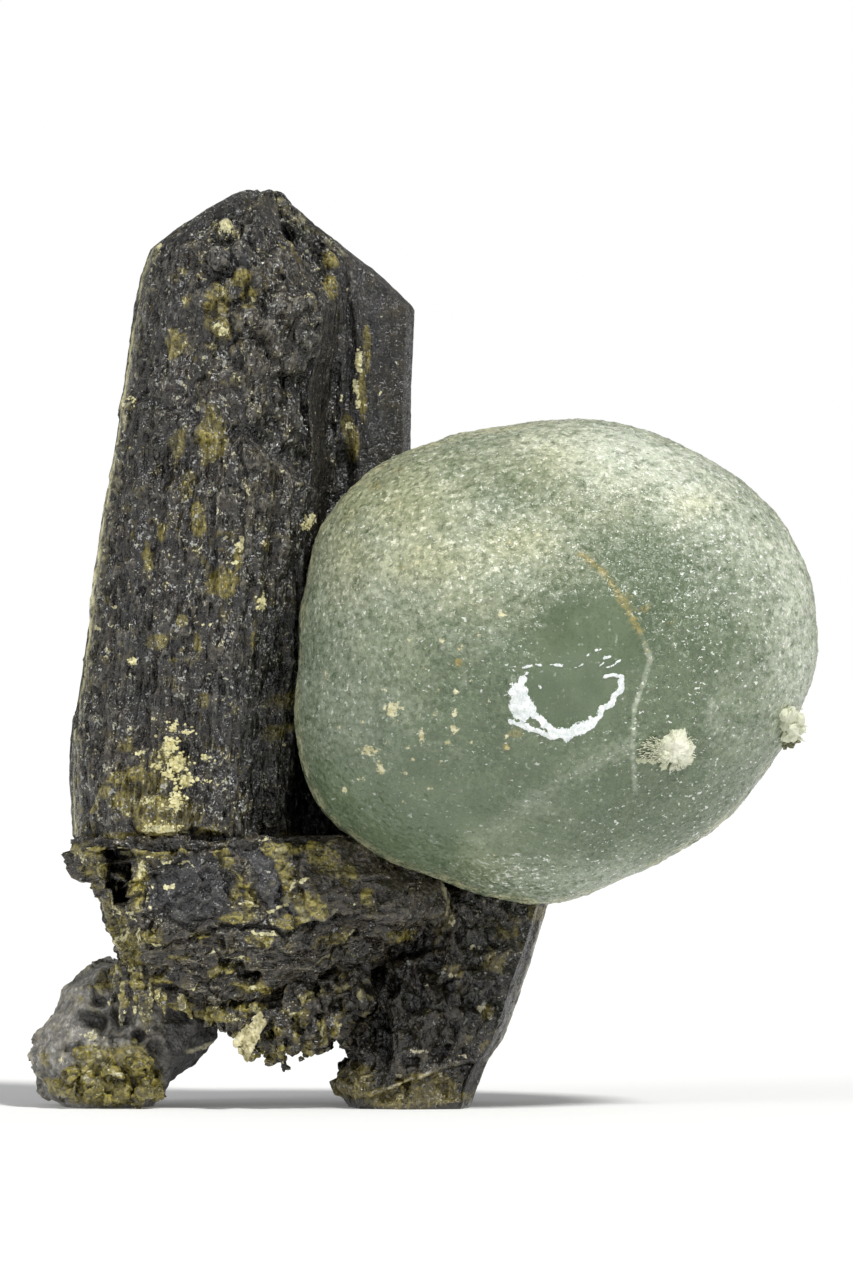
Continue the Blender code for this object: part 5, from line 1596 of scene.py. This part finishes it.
def cream_grains(P, N):
    """Granular cream clusters on the tall prism."""
    parts = []
    r = np.random.RandomState(19)
    spots = []
    for cx, cy, sx, sy, count, big in (
            (173, 745, 8, 8, 34, 1.0), (180, 762, 10, 7, 34, 1.1), (170, 771, 7, 5, 18, 1.0),
            (187, 780, 8, 8, 26, 1.0), (178, 799, 6, 8, 20, .9), (175, 728, 5, 6, 14, .8),
            (207, 757, 6, 3, 8, .8), (160, 765, 8, 4, 10, .8), (188, 731, 6, 4, 8, .7),
            (207, 781, 6, 2, 6, .7), (135, 661, 3, 3, 7, .9), (260, 602, 2.5, 6, 7, .8),
            (306, 523, 3, 6, 7, .7), (224, 333, 3, 3, 4, .8), (358, 360, 2, 9, 6, .8),
            (243, 543, 2, 7, 6, .6), (133, 402, 2.5, 5, 6, .7), (166, 826, 12, 3, 12, .7)):
        for _ in range(int(count * 1.8)):
            spots.append((r.normal(cx, sx * 0.62), r.normal(cy, sy * 0.62), r.uniform(0.035, 0.10) * big))
    for x, y, s in spots:
        p, n = surface_point(P, N, x, y)
        if n[0] < -0.6:
            continue
        parts.append(lump(p + n * s * 0.3, s, int(x * 13 + y * 7) % 9999,
                          (r.uniform(.9, 1.6), 0.7, r.uniform(.9, 1.4))))
    return join("cream_grains", parts)


# ---------------------------------------------------------------- build --------
CREAM_TONE = (0.82, 0.77, 0.43)
EPIDOTE = epidote_material("epidote_striated", (0.0050, 0.0042, 0.0034), (0.038, 0.033, 0.0275),
                           (0.046, 0.036, 0.016), (0.275, 0.228, 0.050), CREAM_TONE, ragged=1.0, flecks=0.95,
                           ridge=(0.235, 0.218, 0.170))
BLOCK = epidote_material("epidote_broken", (0.010, 0.008, 0.0050), (0.066, 0.053, 0.034),
                         (0.072, 0.056, 0.025), (0.320, 0.270, 0.055), CREAM_TONE,
                         streak=(1.6, 1.6, 3.6), grain=(3.4, 3.4, 4.2), flecks=0.8, tilt=0.6,
                         ragged=0.9, crowding=-0.02, stray=0.25, seams=0.8)
# a darker copy of the epidote: painted shade on the rear prism
REAR = epidote_material("epidote_shadowed", (0.008, 0.0065, 0.0045), (0.038, 0.031, 0.021),
                        (0.040, 0.032, 0.015), (0.210, 0.172, 0.048), (0.58, 0.53, 0.36),
                        streak=(2.6, 2.6, 1.2), grain=(3.4, 3.4, 2.6), flecks=0.6, tilt=0.6, stray=0.8,
                        ragged=1.1, crowding=-0.015, ridge=(0.120, 0.108, 0.080))
KNOB = epidote_material("knob_grey", (0.190, 0.180, 0.162), (0.500, 0.482, 0.440),
                        (0.230, 0.200, 0.120), (0.340, 0.285, 0.060), (0.74, 0.69, 0.44),
                        streak=(2.2, 2.2, 2.2), grain=(3.0, 3.0, 3.0), flecks=0.4, rough=(0.2, 0.5),
                        tilt=0.5, ragged=0.8, crowding=-0.03)
CRYSTAL = epidote_material("epidote_olive_crystals", (0.030, 0.024, 0.010), (0.105, 0.088, 0.040),
                           (0.090, 0.072, 0.026), (0.265, 0.222, 0.036), (0.70, 0.65, 0.40),
                           streak=(2.2, 2.2, 2.2), grain=(2.4, 2.4, 2.4), flecks=0.5, tilt=0.5,
                           ragged=0.7, crowding=-0.03, ridge=(0.290, 0.255, 0.120))
BALL_MAT = prehnite_material()
CREAM = fibre_material()
GRAIN = plain_crystal("cream_crust", (0.58, 0.51, 0.20), (0.92, 0.86, 0.50), 0.4, 0.1)
SPLINTER = plain_crystal("cream_cleavage", (0.300, 0.262, 0.120), (0.800, 0.740, 0.470), 0.35, 0.1, scale=2.6)
TIP = plain_crystal("prehnite_dull_tip", (0.10, 0.10, 0.05), (0.26, 0.26, 0.15), 0.4, 0.15)

tall, TP, TN = tall_epidote()
finish_piece(tall, EPIDOTE, "epidote_tall", "main_epidote")
finish_piece(block(), BLOCK, "epidote_block", "base_epidote")
finish_piece(rear_prism(), REAR, "epidote_rear", "rear_epidote")
knob_obj, KP, KN = grey_knob()
finish_piece(knob_obj, KNOB, "knob_rock", "matrix_knob")
finish_piece(prehnite_ball(), BALL_MAT, "prehnite_green", "prehnite_ball")
finish_piece(sheaf(), CREAM, "prehnite_cream", "front_sheaf")
finish_piece(spray(), CREAM, "prehnite_spray", "edge_spray")
finish_piece(spray_tip(), TIP, "prehnite_spray")
finish_piece(ragged_foot(), BLOCK, "epidote_block")
finish_piece(knob_crystals(), CRYSTAL, "knob_rock")
finish_piece(flakes(), BLOCK, "epidote_block")
finish_piece(splinter(), SPLINTER, "prehnite_cream")
finish_piece(cream_grains(TP, TN), GRAIN, "prehnite_cream")

# ---------------------------------------------------------------- studio -------
scene = bpy.context.scene
scene.view_settings.view_transform = "Standard"
scene.view_settings.look = "None"

mesh = bpy.data.meshes.new("floor")
w = 6.0
mesh.from_pydata([(-w, -w, 0), (w, -w, 0), (w, w, 0), (-w, w, 0)], [], [(0, 1, 2, 3)])
floor = bpy.data.objects.new("floor", mesh)
scene.collection.objects.link(floor)
fm = bpy.data.materials.new("floor_pale")
fm.use_nodes = True
fm.node_tree.nodes["Principled BSDF"].inputs["Base Color"].default_value = (0.96, 0.96, 0.96, 1)
fm.node_tree.nodes["Principled BSDF"].inputs["Emission Color"].default_value = (1.0, 1.0, 1.0, 1)
fm.node_tree.nodes["Principled BSDF"].inputs["Emission Strength"].default_value = 0.08
fm.node_tree.nodes["Principled BSDF"].inputs["Roughness"].default_value = 0.9
fm.node_tree.nodes["Principled BSDF"].inputs["Specular IOR Level"].default_value = 0.1
mesh.materials.append(fm)

world = bpy.data.worlds.new("studio")
scene.world = world
world.use_nodes = True
wt = world.node_tree
bg = wt.nodes["Background"]
bg.inputs["Color"].default_value = (1.0, 1.0, 1.0, 1.0)
bg.inputs["Strength"].default_value = 1.0
dim = wt.nodes.new("ShaderNodeBackground")
dim.inputs["Color"].default_value = (0.99, 0.995, 1.0, 1.0)
dim.inputs["Strength"].default_value = 0.30
ray = wt.nodes.new("ShaderNodeLightPath")
mixer = wt.nodes.new("ShaderNodeMixShader")
wt.links.new(ray.outputs["Is Camera Ray"], mixer.inputs["Fac"])
wt.links.new(dim.outputs[0], mixer.inputs[1])
wt.links.new(bg.outputs[0], mixer.inputs[2])
wt.links.new(mixer.outputs[0], wt.nodes["World Output"].inputs["Surface"])


def lamp(name, toward, strength, soft, colour=(1, 1, 1)):
    """Far soft light that shines along the direction given."""
    data = bpy.data.lights.new(name, "SUN")
    data.energy = strength
    data.angle = math.radians(soft)
    data.color = colour
    obj = bpy.data.objects.new(name, data)
    scene.collection.objects.link(obj)
    obj.location = (0, 0, 0.3)
    obj.rotation_euler = Vector(toward).to_track_quat("-Z", "Y").to_euler()
    return obj


lamp("key", (-0.48, 0.62, -1.0), 2.55, 10, (1.0, 0.995, 0.98))
lamp("fill", (0.75, 0.60, -0.45), 0.60, 25, (0.99, 1.0, 1.0))

camera = bpy.data.objects.new("camera", bpy.data.cameras.new("camera"))
scene.collection.objects.link(camera)
D = 0.60
camera.data.sensor_fit = "VERTICAL"
camera.data.sensor_height = 36.0
camera.data.lens = 36.0 * D / 0.064
camera.data.clip_start = 0.01
camera.data.clip_end = 50.0
camera.location = (0.00026, -D, 0.0234)
camera.rotation_euler = (math.radians(90.0), 0, 0)
scene.camera = camera
